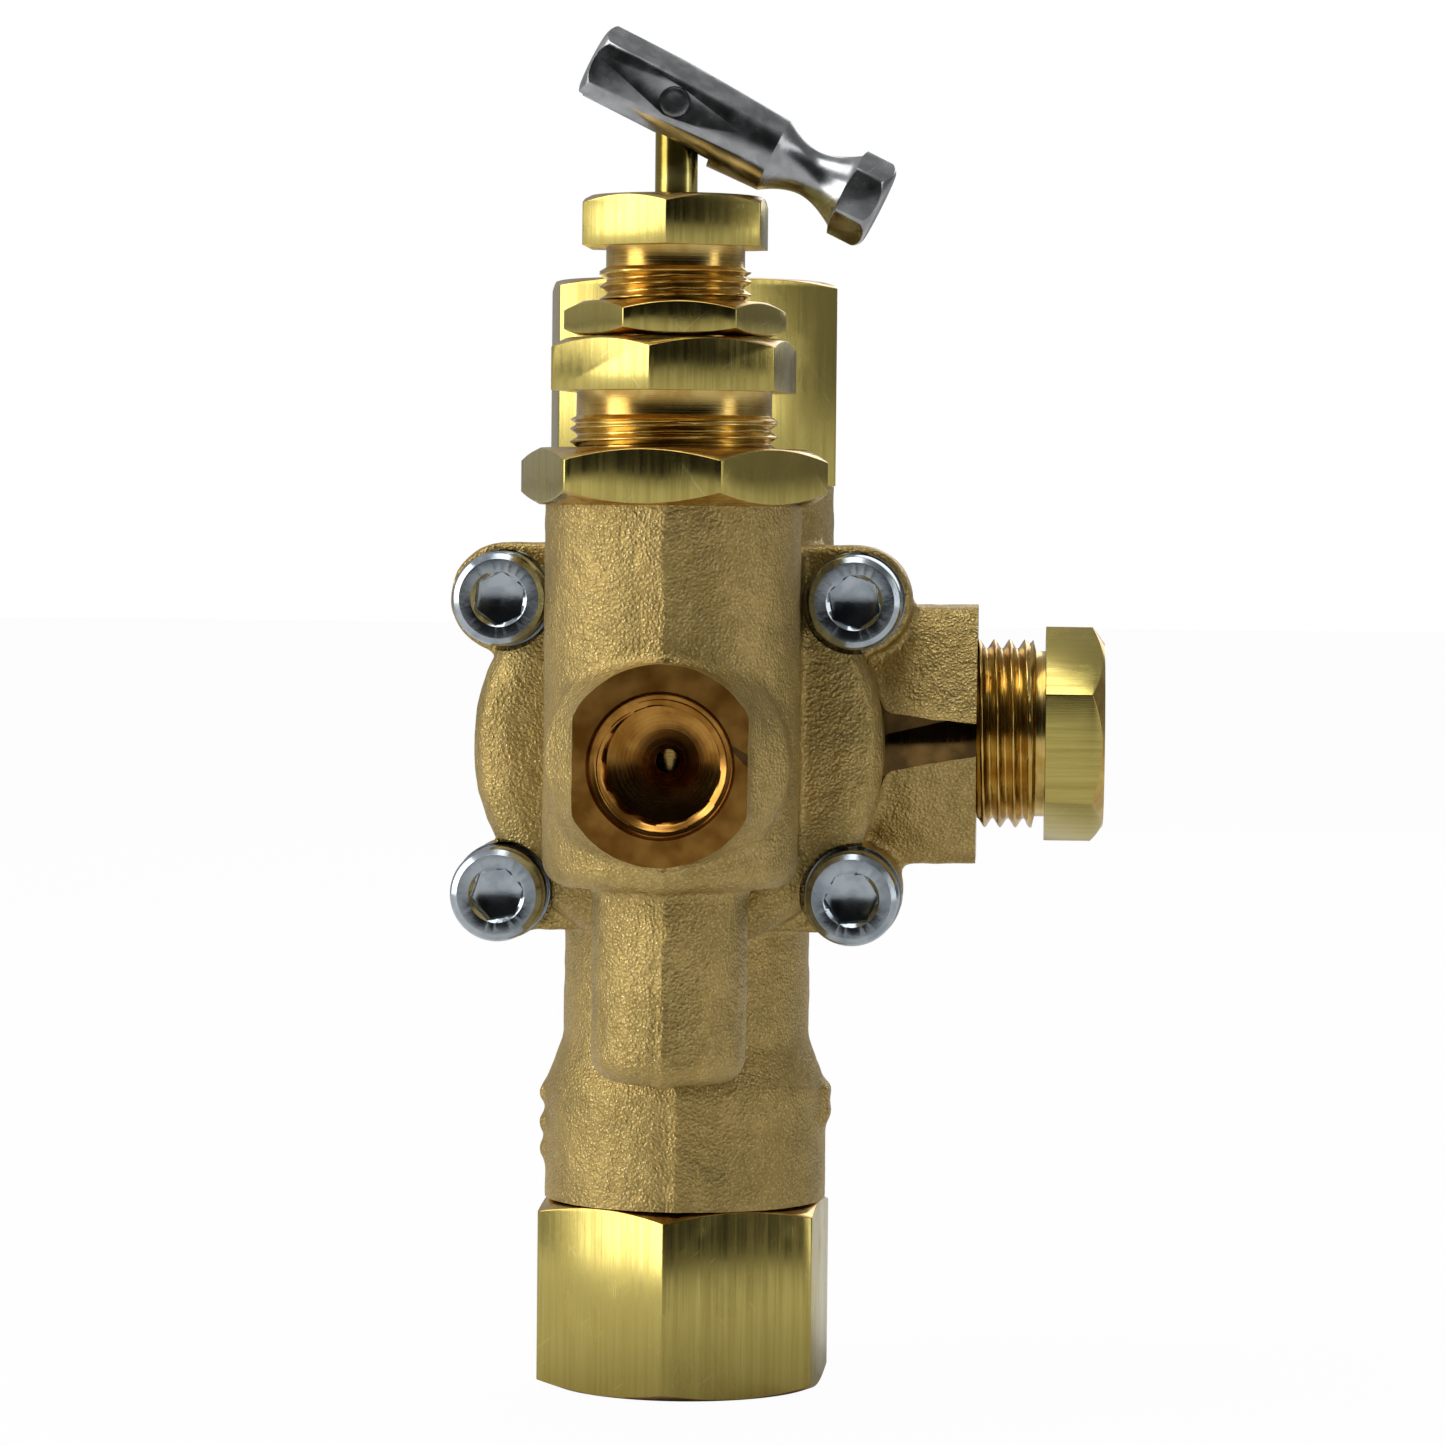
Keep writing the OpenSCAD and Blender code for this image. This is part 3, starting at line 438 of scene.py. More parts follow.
def thread_rows(radius, z0, z1, pitch, rows=12):
    """Outline points close enough together for a thread between two heights."""
    count = max(2, round((z1 - z0) / pitch * rows))
    return [(radius, z0 + (z1 - z0) * i / count) for i in range(count + 1)]


def press_thread(bm, radius, z0, z1, pitch, depth, inner=False):
    """Moves the wall at this radius along a helix. Crests stay, roots go in, and the ends run out."""
    sign = 1 if inner else -1
    for v in bm.verts:
        r = math.hypot(v.co.x, v.co.y)
        if abs(r - radius) > 0.02 or not z0 - 1e-3 <= v.co.z <= z1 + 1e-3:
            continue
        phase = (v.co.z / pitch - math.atan2(v.co.y, v.co.x) / math.tau) % 1
        wave = min(1, max(0, 1.35 * abs(2 * phase - 1) - 0.15))
        fade = min(1, (v.co.z - z0) / (0.4 * pitch), (z1 - v.co.z) / (0.4 * pitch))
        shift = sign * depth * wave * max(0, fade)
        v.co.x *= (r + shift) / r
        v.co.y *= (r + shift) / r
    return bm


# %% From a shape to an object, and cutting one with another
def make_object(name, *shapes):
    """One object in metres from one or more shapes in millimetres."""
    whole = bmesh.new()
    for bm in shapes:
        part = bpy.data.meshes.new("part")
        bm.to_mesh(part)
        whole.from_mesh(part)
        bpy.data.meshes.remove(part)
        bm.free()
    bmesh.ops.scale(whole, verts=whole.verts, vec=(MM, MM, MM))
    mesh = bpy.data.meshes.new(name)
    whole.to_mesh(mesh)
    whole.free()
    thing = bpy.data.objects.new(name, mesh)
    scene.collection.objects.link(thing)
    return thing


def settle(thing):
    """Turns the object's modifiers into mesh."""
    graph = bpy.context.evaluated_depsgraph_get()
    mesh = bpy.data.meshes.new_from_object(thing.evaluated_get(graph))
    thing.modifiers.clear()
    old = thing.data
    thing.data = mesh
    mesh.name = thing.name
    bpy.data.meshes.remove(old)
    return thing


def carve(thing, *shapes, operation="DIFFERENCE"):
    """Cuts shapes from an object, or joins or crosses them with it, one after the other."""
    for bm in shapes:
        tool = make_object("tool", bm)
        step = thing.modifiers.new("carve", "BOOLEAN")
        step.operation = operation
        step.solver = "MANIFOLD"
        step.object = tool
        settle(thing)
        bpy.data.objects.remove(tool)
    return thing


def soften(thing, width, angle=28, segments=2):
    """Breaks the edges of a machined piece by a bevel of so many millimetres."""
    step = thing.modifiers.new("edges", "BEVEL")
    step.width = width * MM
    step.segments = segments
    step.limit_method = "ANGLE"
    step.angle_limit = math.radians(angle)
    step.use_clamp_overlap = True
    return settle(thing)


def smooth(thing, angle=32):
    """Shades smooth, but keeps edges sharper than the angle."""
    mesh = thing.data
    mesh.polygons.foreach_set("use_smooth", [True] * len(mesh.polygons))
    mesh.set_sharp_from_angle(angle=math.radians(angle))
    return thing


def dress(thing, body, slot, nodes, *materials):
    """Gives a finished piece its body, the nodes that it stands for, and its materials."""
    thing.data.materials.clear()
    for material in materials:
        thing.data.materials.append(material)
    for node in nodes:
        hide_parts(node)
    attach(thing, body)
    print(thing.name, "has", len(thing.data.polygons), "faces")
    return thing


def paint(thing, index, chosen):
    """Puts a material on the faces that a test picks by centre in millimetres and by normal."""
    for face in thing.data.polygons:
        if chosen(face.center / MM, face.normal):
            face.material_index = index


# %% [markdown]
# ## Castings
# A sand casting has no sharp corner: the sand can't hold one. So each casting starts as a rough
# pile of plain solids, a voxel remesh melts them into one skin, and a smoothing pass rounds the
# corners and fills the inner ones. Only then are the machined faces and holes cut, and those stay
# crisp, as on the real casting after its trip to the machine shop.

# %% Places that both castings share
barrel_y = -middle("pilot_stem").y
split_y = -high("pilot_casting").y
chamber_z = middle("unloader_piston").z
exhaust_z = middle("exhaust_fitting").z
barrel_top = high("pilot_casting").z
finger_bottom = low("pilot_casting").z
port_face = -low("pilot_casting").y
body_low, body_high = low("main_body"), high("main_body")
HEAD_R = 4.75
screw_x = high("cap_screws").x - HEAD_R
screw_top = high("cap_screws").z - HEAD_R
screw_bottom = low("cap_screws").z + HEAD_R
screw_spots = [(x, z) for x in (-screw_x, screw_x) for z in (screw_bottom, screw_top)]
PORT_Z = 66.6
CHAMBER_R = 20.8
EAR_FACE = split_y + 2.4
UPPER_EAR_R, LOWER_EAR_R = 5.6, 4.9
FIT = 0.05
SPIGOT_R = 11.5
BONNET_R = 10.25
print("split face", round(split_y, 2), "barrel axis", round(barrel_y, 2))


def flange_shapes(y0, y1):
    """Ears and round chamber of the bolted joint, between two depths in front of the main axis."""
    shapes = [placed(rod(CHAMBER_R, y0, y1), (0, 0, chamber_z), "F")]
    for x, z in screw_spots:
        ear = UPPER_EAR_R if z > chamber_z else LOWER_EAR_R
        shapes.append(placed(rod(ear, y0, y1), (x, 0, z), "F"))
    top = screw_top + UPPER_EAR_R
    shapes.append(block(-screw_x, screw_x, -y1, -y0, screw_bottom - 4.0, top))
    return shapes


def cast_skin(name, voxel, passes, shapes):
    """Rough casting: the shapes melted into one skin, with rounded corners."""
    thing = make_object(name, *shapes)
    melt = thing.modifiers.new("melt", "REMESH")
    melt.mode = "VOXEL"
    melt.voxel_size = voxel * MM
    melt.use_smooth_shade = True
    rub = thing.modifiers.new("rub", "SMOOTH")
    rub.factor = 0.5
    rub.iterations = passes
    return settle(thing)


def push_skin(thing, amount):
    """Moves each point of a skin along its normal by amount(place, normal), in millimetres."""
    mesh = thing.data
    normals = [Vector(n.vector) for n in mesh.vertex_normals]
    for v, n in zip(mesh.vertices, normals):
        v.co += n * (amount(v.co / MM, n) * MM)
    mesh.update()


def sand(place, size, depth):
    """Gentle unevenness of a mould wall, in millimetres."""
    return depth * noise.fractal(place / size, 1.0, 2.0, 3)


def ridge(x, width, height):
    """Height of a parting line at a distance from it."""
    return height * math.exp(-(x / width) ** 2)


# %% [markdown]
# ### Main casting
# The tube with its two collars, the bolted joint's rear half, and the six sided block for the
# exhaust. The pattern was split down the front, which leaves a thin ridge on the tube. Where the
# foundry would raise its marks beside the lower collar, this one has plain bars.

# %% Main casting
TUBE_R, LOWER_COLLAR_R, UPPER_COLLAR_R = 12.8, 14.65, 14.9
LOWER_COLLAR_TOP, CONE_TOP = 31.5, 36.2
BOSS_STRETCH = 0.24


def main_casting():
    """Rough skin of the main casting, longer than its machined faces."""
    z0, z1 = body_low.z, body_high.z
    tube = turned([(0, z0 - 2), (LOWER_COLLAR_R, z0 - 2), (LOWER_COLLAR_R, LOWER_COLLAR_TOP),
                   (TUBE_R, CONE_TOP), (TUBE_R, z1 - 12.8), (UPPER_COLLAR_R, z1 - 9.8),
                   (UPPER_COLLAR_R, z1 + 2), (0, z1 + 2)])
    boss = hex_bar(26.5, 0, body_high.x + 2, 0.5)
    bmesh.ops.rotate(boss, verts=boss.verts, matrix=Matrix.Rotation(math.pi / 2, 3, "Z"))
    for v in boss.verts:
        if v.co.y < -9 or v.co.y > 9:
            v.co.y *= 1 + BOSS_STRETCH * max(0, 1 - v.co.z / body_high.x)
    lay_along = Matrix(((0, 0, 1), (0, 1, 0), (-1, 0, 0)))
    bmesh.ops.transform(boss, verts=boss.verts, matrix=lay_along.to_4x4())
    bmesh.ops.translate(boss, verts=boss.verts, vec=(0, 0, exhaust_z))
    bmesh.ops.recalc_face_normals(boss, faces=boss.faces)
    dome = placed(turned([(0, -3), (10.5, -3), (17.6, 10.5), (20.1, 12.5), (20.1, 16), (0, 16)]),
                  (0, 0, chamber_z), "F")
    marks = []
    for side, heights in ((-1, (30.3, 27.2, 24.4)), (1, (30.6, 28.4))):
        for z in heights:
            bar = placed(rod(1.0, -2.6, 2.6, 16), (side * 14.35, 0, z), "F")
            marks.append(bar)
    shapes = [tube, boss, dome] + flange_shapes(split_y - 8.5, split_y + 2) + marks
    skin = cast_skin("main_casting", 0.48, 7, shapes)

    def unevenness(p, n):
        """Parting line and mould sand at one point."""
        line = ridge(p.x, 0.5, 0.3) if n.y < -0.3 or n.y > 0.3 else 0
        return line + sand(p, 5.0, 0.10) + sand(p, 1.7, 0.05)

    push_skin(skin, unevenness)
    return skin


body = main_casting()
keep = block(-40, body_high.x, -40, 40, body_low.z, body_high.z)
carve(body, keep, operation="INTERSECT")
carve(body, block(-40, 40, -40, -split_y, screw_bottom - 7, screw_top + 7))
print("main casting skin", len(body.data.polygons), "faces")

# %% Its bores
FITTING_R = 9.8
carve(
    body,
    rod(8.0, body_low.z - 5, body_high.z - 8),
    rod(7.0, 60, body_high.z + 5),
    rod(SPIGOT_R + FIT, body_low.z - 5, body_low.z + 10),
    rod(SPIGOT_R + FIT, body_high.z - 7.8, body_high.z + 5),
    placed(rod(6.65, 0, 15), (0, 0, chamber_z), "F"),
    placed(rod(10.5, 10.5, 30), (0, 0, chamber_z), "F"),
    placed(rod(15.1, 12.7, 30), (0, 0, chamber_z), "F"),
    placed(rod(FITTING_R + FIT, 16, 60), (0, 0, exhaust_z), "X"),
    *[placed(rod(3.05, 0, 30, 32), (x, 0, z), "F") for x, z in screw_spots],
)
smooth(body, 38)
dress(body, "valve_body", "cast_brass", ["main_body"], cast_brass, milled_brass_painted_dark, turned_brass)


def machined(p, n):
    """Whether a face lies on the split plane or on the exhaust block's end, the faces that get the painted dark
    reflection.
    """
    split = n.y < -0.98 and abs(p.y + split_y) < 0.02 and abs(p.z - chamber_z) < 22
    return split or (n.x > 0.98 and p.x > body_high.x - 0.02)


# The split plane and the exhaust block's end get milled brass, whose dark tint is a painted dark reflection.
paint(body, 1, machined)
paint(body, 2, lambda p, n: abs(n.z) > 0.98 and (p.z > body_high.z - 0.02 or p.z < body_low.z + 0.02))

# %% [markdown]
# ### Pilot casting
# The barrel stands in front of the round chamber, with a closed finger below and the port boss
# in front. Its parting line runs down the middle of the front, where the two halves of the mould
# meet at a slight angle, so each side catches the light differently.

# %% Pilot casting
BARREL_R = 12.65
FINGER_R = 7.7
BOSS_R = 9.8
BOSS_HALF_W = 8.45
BARREL_BOTTOM = 54.0


def rounded_post(radius, z0, z1, edge):
    """Post about Z with a rounded lower rim."""
    arc = [(radius - edge + edge * math.sin(a), z0 + edge - edge * math.cos(a))
           for a in (i * math.pi / 12 for i in range(7))]
    return turned([(0, z0)] + arc + [(radius, z1), (0, z1)])


def pilot_casting():
    """Rough skin of the pilot casting, longer than its machined faces."""
    axis = (0, -barrel_y, 0)
    barrel = placed(rounded_post(BARREL_R, BARREL_BOTTOM, barrel_top + 2, 2.4), axis)
    finger = placed(rounded_post(FINGER_R, finger_bottom, BARREL_BOTTOM + 5, 2.6), axis)
    web = block(-BARREL_R + 0.3, BARREL_R - 0.3, -barrel_y, -split_y, BARREL_BOTTOM + 2.6, screw_top + 5)
    boss = placed(turned([(0, 0), (BOSS_R + 2.2, 0), (BOSS_R + 2.2, 9), (BOSS_R, 13.2), (BOSS_R, 19), (0, 19)]),
                  (0, -barrel_y, PORT_Z), "F")
    for v in boss.verts:
        if v.co.y < -barrel_y - 10:
            v.co.x = max(-BOSS_HALF_W, min(BOSS_HALF_W, v.co.x))
    chamber = placed(turned([(0, split_y - 2), (CHAMBER_R, split_y - 2), (CHAMBER_R, split_y + 3.8),
                             (CHAMBER_R - 1, split_y + 5.6), (CHAMBER_R - 3.2, split_y + 6.4),
                             (0, split_y + 6.8)]), (0, 0, chamber_z), "F")
    shapes = [barrel, finger, web, boss, chamber] + flange_shapes(split_y - 2, EAR_FACE)
    skin = cast_skin("pilot_cast", 0.42, 7, shapes)

    def unevenness(p, n):
        """Parting line and mould sand at one point."""
        roof = 0.0
        if n.y < -0.3 and p.y < -barrel_y:
            waver = 0.35 * noise.noise(Vector((0, 0, p.z / 6)))
            roof = 0.42 * max(0, 1 - abs(p.x - waver) / 2.6)
            roof += ridge(p.x - waver, 0.35, 0.22 if p.z < BARREL_BOTTOM else 0.08)
        return roof + sand(p, 5.0, 0.10) + sand(p, 1.6, 0.05)

    push_skin(skin, unevenness)
    return skin


pilot = pilot_casting()
carve(pilot, block(-40, 40, -port_face, -split_y, 0, barrel_top), operation="INTERSECT")

# %% [markdown]
# The port is drilled, countersunk and tapped from the front, and its drill point leaves a cone
# with the small pressure hole in the middle. The screws sit on spot faces beside the chamber.

# %% Machining the pilot casting
PORT_R, PORT_PITCH, PORT_DEPTH = 6.45, 1.41, 8.8
port_cut = turned(
    [(0, -1), (PORT_R + 1.4, -1), (PORT_R + 0.35, 0.55)]
    + thread_rows(PORT_R, 0.6, PORT_DEPTH, PORT_PITCH)
    + [(5.5, PORT_DEPTH + 0.1), (1.2, PORT_DEPTH + 2.4), (1.2, 16), (0, 16)], 128)
press_thread(port_cut, PORT_R, 0.6, PORT_DEPTH, PORT_PITCH, 0.75)
placed(port_cut, (0, -port_face, PORT_Z), "F", flip=True)
carve(
    pilot,
    port_cut,
    placed(rod(BONNET_R + FIT, barrel_top - 7.6, barrel_top + 5), (0, -barrel_y, 0)),
    placed(rod(6.5, 70, barrel_top + 5), (0, -barrel_y, 0)),
    placed(rod(4.2, finger_bottom + 3.4, 80), (0, -barrel_y, 0)),
    placed(rod(14.56, 0, split_y + 5), (0, 0, chamber_z), "F"),
    *[placed(rod(3.3, 0, 30, 32), (x, 0, z), "F") for x, z in screw_spots],
    *[placed(rod(5.35, EAR_FACE, 60, 48), (x, 0, z), "F") for x, z in screw_spots],
)
smooth(pilot, 38)
dress(pilot, "valve_body", "cast_brass", ["pilot_casting"],
      cast_brass, milled_brass_painted_dark, turned_brass_front_shaded, turned_brass)


def in_port(p, n):
    """Whether a face lies in the tapped port."""
    return math.hypot(p.x, p.z - PORT_Z) < PORT_R + 1.4 and p.y < -barrel_y - 4.5


# The port boss's front face gets milled brass, whose dark tint is a painted dark reflection.
paint(pilot, 1, lambda p, n: n.y < -0.99 and p.y < -port_face + 0.05)
# The tapped port gets the darker front turned brass: painted shade inside the recess.
paint(pilot, 2, in_port)
paint(pilot, 3, lambda p, n: n.z > 0.98 and p.z > barrel_top - 0.02)

# %% [markdown]
# ## Hex sockets
# Both pipe ends are sawn from drawn hex bar, faced and chamfered on the lathe, and tapped for a
# half inch pipe. Crossing the bar with a turned envelope gives the true chamfer, whose edge dips
# on each flat.


# %% Chamfered hex pieces
def envelope(across, z0, z1, cut_low, cut_high):
    """Turned envelope that chamfers a hex bar by so much at its lower and upper face."""
    corner = across / math.sqrt(3) + 0.4
    flat = across / 2
    low_side = [(0, z0), (flat - 0.35, z0), (corner, z0 + cut_low)] if cut_low else [(0, z0), (corner, z0)]
    high_side = [(corner, z1 - cut_high), (flat - 0.35, z1), (0, z1)] if cut_high else [(corner, z1), (0, z1)]
    return turned(low_side + high_side, 144)


def hex_piece(name, across, z0, z1, turn, cut_low=0.0, cut_high=0.0, edge=0.14):
    """Object of a chamfered hex about Z."""
    bar = hex_bar(across, z0, z1, edge)
    bmesh.ops.rotate(bar, verts=bar.verts, matrix=Matrix.Rotation(math.radians(turn), 3, "Z"))
    thing = make_object(name, bar)
    return carve(thing, envelope(across, z0, z1, cut_low, cut_high), operation="INTERSECT")


def pipe_thread_cut(radius, depth, pitch, inner_r, bore_end):
    """Tapered mouth, thread and bore to cut from a part, with the mouth at height 0."""
    tool = turned(
        [(0, -1), (radius + 1.6, -1), (radius + 0.35, 0.5)]
        + thread_rows(radius, 0.55, depth, pitch)
        + [(inner_r, depth + 0.05), (inner_r, bore_end), (0, bore_end)], 128)
    return press_thread(tool, radius, 0.55, depth, pitch, 0.9)


INLET_TURN, OUTLET_TURN = 26, 37.4
PIPE_R, PIPE_DEPTH, PIPE_PITCH = 10.35, 13.4, 1.81

inlet_top = body_low.z
inlet = hex_piece("inlet_socket", 28.6, 0, inlet_top, INLET_TURN, 1.1, 1.2)
carve(inlet, rod(SPIGOT_R, inlet_top - 1, inlet_top + 9.8), operation="UNION")
carve(inlet, pipe_thread_cut(PIPE_R, PIPE_DEPTH, PIPE_PITCH, 8.0, 40))
soften(inlet, 0.1)
smooth(inlet)
dress(inlet, "valve_body", "bar_brass", ["inlet_adapter", "inlet_o_ring"], bar_brass, turned_brass)
paint(inlet, 1, lambda p, n: math.hypot(p.x, p.y) < 11.6 or abs(n.z) > 0.3)

outlet_bottom, outlet_top = body_high.z, high("outlet_adapter").z
outlet = hex_piece("outlet_socket", 28.6, outlet_bottom, outlet_top, OUTLET_TURN, 0.0, 0.9)
carve(outlet, rod(SPIGOT_R, outlet_bottom - 7.4, outlet_bottom + 1), operation="UNION")
tap = placed(pipe_thread_cut(PIPE_R, PIPE_DEPTH, PIPE_PITCH, 8.0, 40), (0, 0, outlet_top), flip=True)
carve(outlet, tap, rod(9.7, outlet_bottom - 10, outlet_top - PIPE_DEPTH - 3))
soften(outlet, 0.1)
smooth(outlet)
dress(outlet, "valve_body", "bar_brass", ["outlet_adapter", "outlet_o_ring"], bar_brass, turned_brass)
paint(outlet, 1, lambda p, n: math.hypot(p.x, p.y) < 11.6 or n.z > 0.3)

# %% [markdown]
# ## Pilot stack
# From the barrel upwards: the bonnet's lock nut, the bonnet with its hex, the adjusting screw's
# lock nut, and the adjusting screw. Each thread shows for a few turns below its hex, and each
# hex stopped at a different angle when it was tightened.

# %% Bonnet and its lock nut
BONNET_PITCH = 1.27
nut_z0, nut_z1 = low("bonnet_lock_nut").z, high("bonnet_lock_nut").z
bonnet_z0, bonnet_z1 = low("pilot_bonnet").z, high("pilot_bonnet").z
BONNET_HEX_H = 5.2
BONNET_NECK = 2.8
on_axis = (0, -barrel_y, 0)

nut = hex_piece("bonnet_nut", 27.0, nut_z0, nut_z1, 50.4, 1.5, 1.5, 0.16)
carve(nut, rod(BONNET_R + FIT, 0, 200))
to_pilot = Matrix.Translation(Vector(on_axis) * MM)
nut.data.transform(to_pilot)
soften(nut, 0.12)
smooth(nut)
dress(nut, "valve_body", "bar_brass", ["bonnet_lock_nut"], bar_brass, turned_brass)
paint(nut, 1, lambda p, n: abs(n.z) > 0.35)

hex_z0 = bonnet_z1 - BONNET_HEX_H
neck_z0 = hex_z0 - BONNET_NECK
bonnet = hex_piece("bonnet", 22.2, hex_z0, bonnet_z1, 22.6, 0.0, 1.2)
shank = turned([(0, bonnet_z0), (BONNET_R, bonnet_z0)]
               + thread_rows(BONNET_R, nut_z1 - 2, neck_z0, BONNET_PITCH)
               + [(9.65, neck_z0 + 0.4), (9.65, hex_z0 + 1), (0, hex_z0 + 1)], 128)
press_thread(shank, BONNET_R, nut_z1 - 2, neck_z0, BONNET_PITCH, 0.72)
carve(bonnet, shank, operation="UNION")
carve(bonnet, rod(7.55, 0, 200))
bonnet.data.transform(to_pilot)
soften(bonnet, 0.07, 40)
smooth(bonnet)
dress(bonnet, "valve_body", "bar_brass", ["pilot_bonnet"], bar_brass, turned_brass)
paint(bonnet, 1, lambda p, n: p.z < hex_z0 - 0.02 or abs(n.z) > 0.35)

# %% Adjusting screw and its lock nut
SCREW_R, SCREW_PITCH = 7.5, 1.27
jam_z0, jam_z1 = low("adjuster_lock_nut").z, high("adjuster_lock_nut").z
adjust_z0, adjust_z1 = low("adjusting_screw").z, high("adjusting_screw").z
ADJUST_HEX_H, ADJUST_NECK = 5.0, 2.4

jam = hex_piece("adjuster_nut", 19.05, jam_z0, jam_z1, 6.2, 0.8, 1.1)
carve(jam, rod(SCREW_R + FIT, 0, 200))
jam.data.transform(to_pilot)
soften(jam, 0.1)
smooth(jam)
dress(jam, "valve_body", "bar_brass", ["adjuster_lock_nut"], bar_brass, turned_brass)
paint(jam, 1, lambda p, n: abs(n.z) > 0.35)

adjust_hex = adjust_z1 - ADJUST_HEX_H
adjust_neck = adjust_hex - ADJUST_NECK
adjuster = hex_piece("adjuster", 17.5, adjust_hex, adjust_z1, 28.5, 0.0, 1.1)
shank = turned([(0, adjust_z0), (SCREW_R, adjust_z0)]
               + thread_rows(SCREW_R, jam_z1 - 3, adjust_neck, SCREW_PITCH)
               + [(6.85, adjust_neck + 0.4), (6.85, adjust_hex + 1), (0, adjust_hex + 1)], 128)
press_thread(shank, SCREW_R, jam_z1 - 3, adjust_neck, SCREW_PITCH, 0.72)
carve(adjuster, shank, operation="UNION")
carve(adjuster, rod(2.16, 0, 200, 48), turned([(0, adjust_z1 - 0.6), (2.1, adjust_z1 - 0.6),
                                              (2.9, adjust_z1 + 0.2), (0, adjust_z1 + 0.2)], 48))
adjuster.data.transform(to_pilot)
soften(adjuster, 0.07, 40)
smooth(adjuster)
dress(adjuster, "adjuster", "bar_brass", ["adjusting_screw"], bar_brass, turned_brass)
paint(adjuster, 1, lambda p, n: p.z < adjust_hex - 0.02 or abs(n.z) > 0.35)

# %% [markdown]
# ## Exhaust fitting
# A bushing of hex bar laid along X: a coarse thread shows between the casting and its hex, and
# the outer end is chamfered so that the mouth looks scalloped from the side.

# %% Exhaust fitting
fit_x0, fit_x1 = low("exhaust_fitting").x, high("exhaust_fitting").x
FITTING_PITCH, FITTING_HEX = 1.59, 6.1
fit_hex = fit_x1 - FITTING_HEX
fitting = hex_piece("fitting", 19.6, fit_hex, fit_x1, 0, 0.0, 1.6)
shank = turned([(0, fit_x0), (FITTING_R, fit_x0)]
               + thread_rows(FITTING_R, body_high.x - 3, fit_hex - 1.3, FITTING_PITCH)
               + [(8.6, fit_hex - 1.0), (8.6, fit_hex + 1), (0, fit_hex + 1)], 128)
press_thread(shank, FITTING_R, body_high.x - 3, fit_hex - 1.3, FITTING_PITCH, 0.95)
carve(fitting, shank, operation="UNION")
carve(fitting, rod(5.3, 0, 100), rod(6.3, 25, 100),
      turned([(0, fit_x1 - 0.8), (6.2, fit_x1 - 0.8), (7.4, fit_x1 + 0.4), (0, fit_x1 + 0.4)]))
lay = Matrix.Translation(Vector((0, 0, exhaust_z)) * MM) @ Matrix.Rotation(math.pi / 2, 4, "Y")
fitting.data.transform(lay @ Matrix.Rotation(math.radians(7), 4, "Z"))
soften(fitting, 0.08, 40)
smooth(fitting)
dress(fitting, "valve_body", "bar_brass", ["exhaust_fitting"], bar_brass_side, turned_brass_side)
paint(fitting, 1, lambda p, n: p.x < fit_hex - 0.02 or n.x > 0.35)

# %% [markdown]
# ## Screws
# Socket head screws with a broached hex and the drill point below it. All four are alike, only
# turned by chance, so one function makes them and its result is copied to each corner.

# %% Cap screws
HEAD_H, SOCKET_AF = 6.35, 4.76
head_base = -low("cap_screws").y - HEAD_H


def cap_screw(turn):
    """One screw, its head's underside at height 0, pointing up."""
    head = turned([(0, -11.5), (2.7, -11.5), (3.0, -11.1), (3.0, 0), (HEAD_R - 0.25, 0), (HEAD_R, 0.25),
                   (HEAD_R, HEAD_H - 0.9), (HEAD_R - 0.22, HEAD_H - 0.35), (HEAD_R - 0.75, HEAD_H),
                   (0, HEAD_H)], 72)
    thing = make_object("screw", head)
    socket = hex_bar(SOCKET_AF, HEAD_H - 3.2, HEAD_H + 2, 0.05)
    mouth = turned([(0, HEAD_H - 0.35), (2.45, HEAD_H - 0.35), (2.95, HEAD_H + 0.1), (0, HEAD_H + 0.1)], 48)
    point = turned([(0, HEAD_H - 4.4), (2.25, HEAD_H - 3.1), (2.25, HEAD_H - 3), (0, HEAD_H - 3)], 48)
    carve(thing, socket, mouth, point)
    soften(thing, 0.06, 35)
    thing.data.transform(Matrix.Rotation(turn, 4, "Z"))
    return thing


def screws():
    """All four screws as one object."""
    whole = bmesh.new()
    for (x, z), turn in zip(screw_spots, (12, 24, 5, 40)):
        one = cap_screw(math.radians(turn))
        one.data.transform(Matrix.Translation(Vector((x, -head_base, z)) * MM) @ Matrix.Rotation(math.pi / 2, 4, "X"))
        whole.from_mesh(one.data)
        bpy.data.objects.remove(one)
    mesh = bpy.data.meshes.new("screws")
    whole.to_mesh(mesh)
    whole.free()
    thing = bpy.data.objects.new("screws", mesh)
    scene.collection.objects.link(thing)
    return smooth(thing)


dress(screws(), "valve_body", "zinc_steel", ["cap_screws"], screw_zinc)


# %% Split lock washers
def washers():
    """Spring washers: a flat ring with a slanting split."""
    rings = []
    t = head_base - EAR_FACE
    for x, z in screw_spots:
        ring = turned([(3.2, 0.03), (4.9, 0.03), (4.95, 0.1), (4.95, t - 0.1), (4.9, t - 0.03), (3.2, t - 0.03)], 64)
        rings.append(placed(ring, (x, -EAR_FACE, z), "F"))
    return make_object("washers", *rings)


ring_set = washers()
for x, z in screw_spots:
    gap = block(0, 8, -0.4, 0.4, -4, 4)
    bmesh.ops.rotate(gap, verts=gap.verts, matrix=Matrix.Rotation(0.5, 3, "X"))
    bmesh.ops.rotate(gap, verts=gap.verts, matrix=Matrix.Rotation(-1.1, 3, "Y"))
    bmesh.ops.translate(gap, verts=gap.verts, vec=(x, -EAR_FACE, z))
    carve(ring_set, gap)
smooth(ring_set)
dress(ring_set, "valve_body", "zinc_steel", ["lock_washers"], screw_zinc)

# %% [markdown]
# ## Toggle lever
# A length of polished hex bar: its cam end is squared, the handle end is necked down by a form
# tool and left with a hex knob. A slot from below takes the stem, and a riveted pin holds them.

# %% Lever
LEVER_AF, LEVER_L, LEVER_PIN = 7.94, 31.7, 9.3
LEVER_BODY, LEVER_NECK, NECK_R = 20.1, 7.8, 2.35
LEVER_TILT = math.radians(26.5)
pin_at = Vector((0, -barrel_y, high("pilot_stem").z - 2.1))
corner = LEVER_AF / math.sqrt(3)


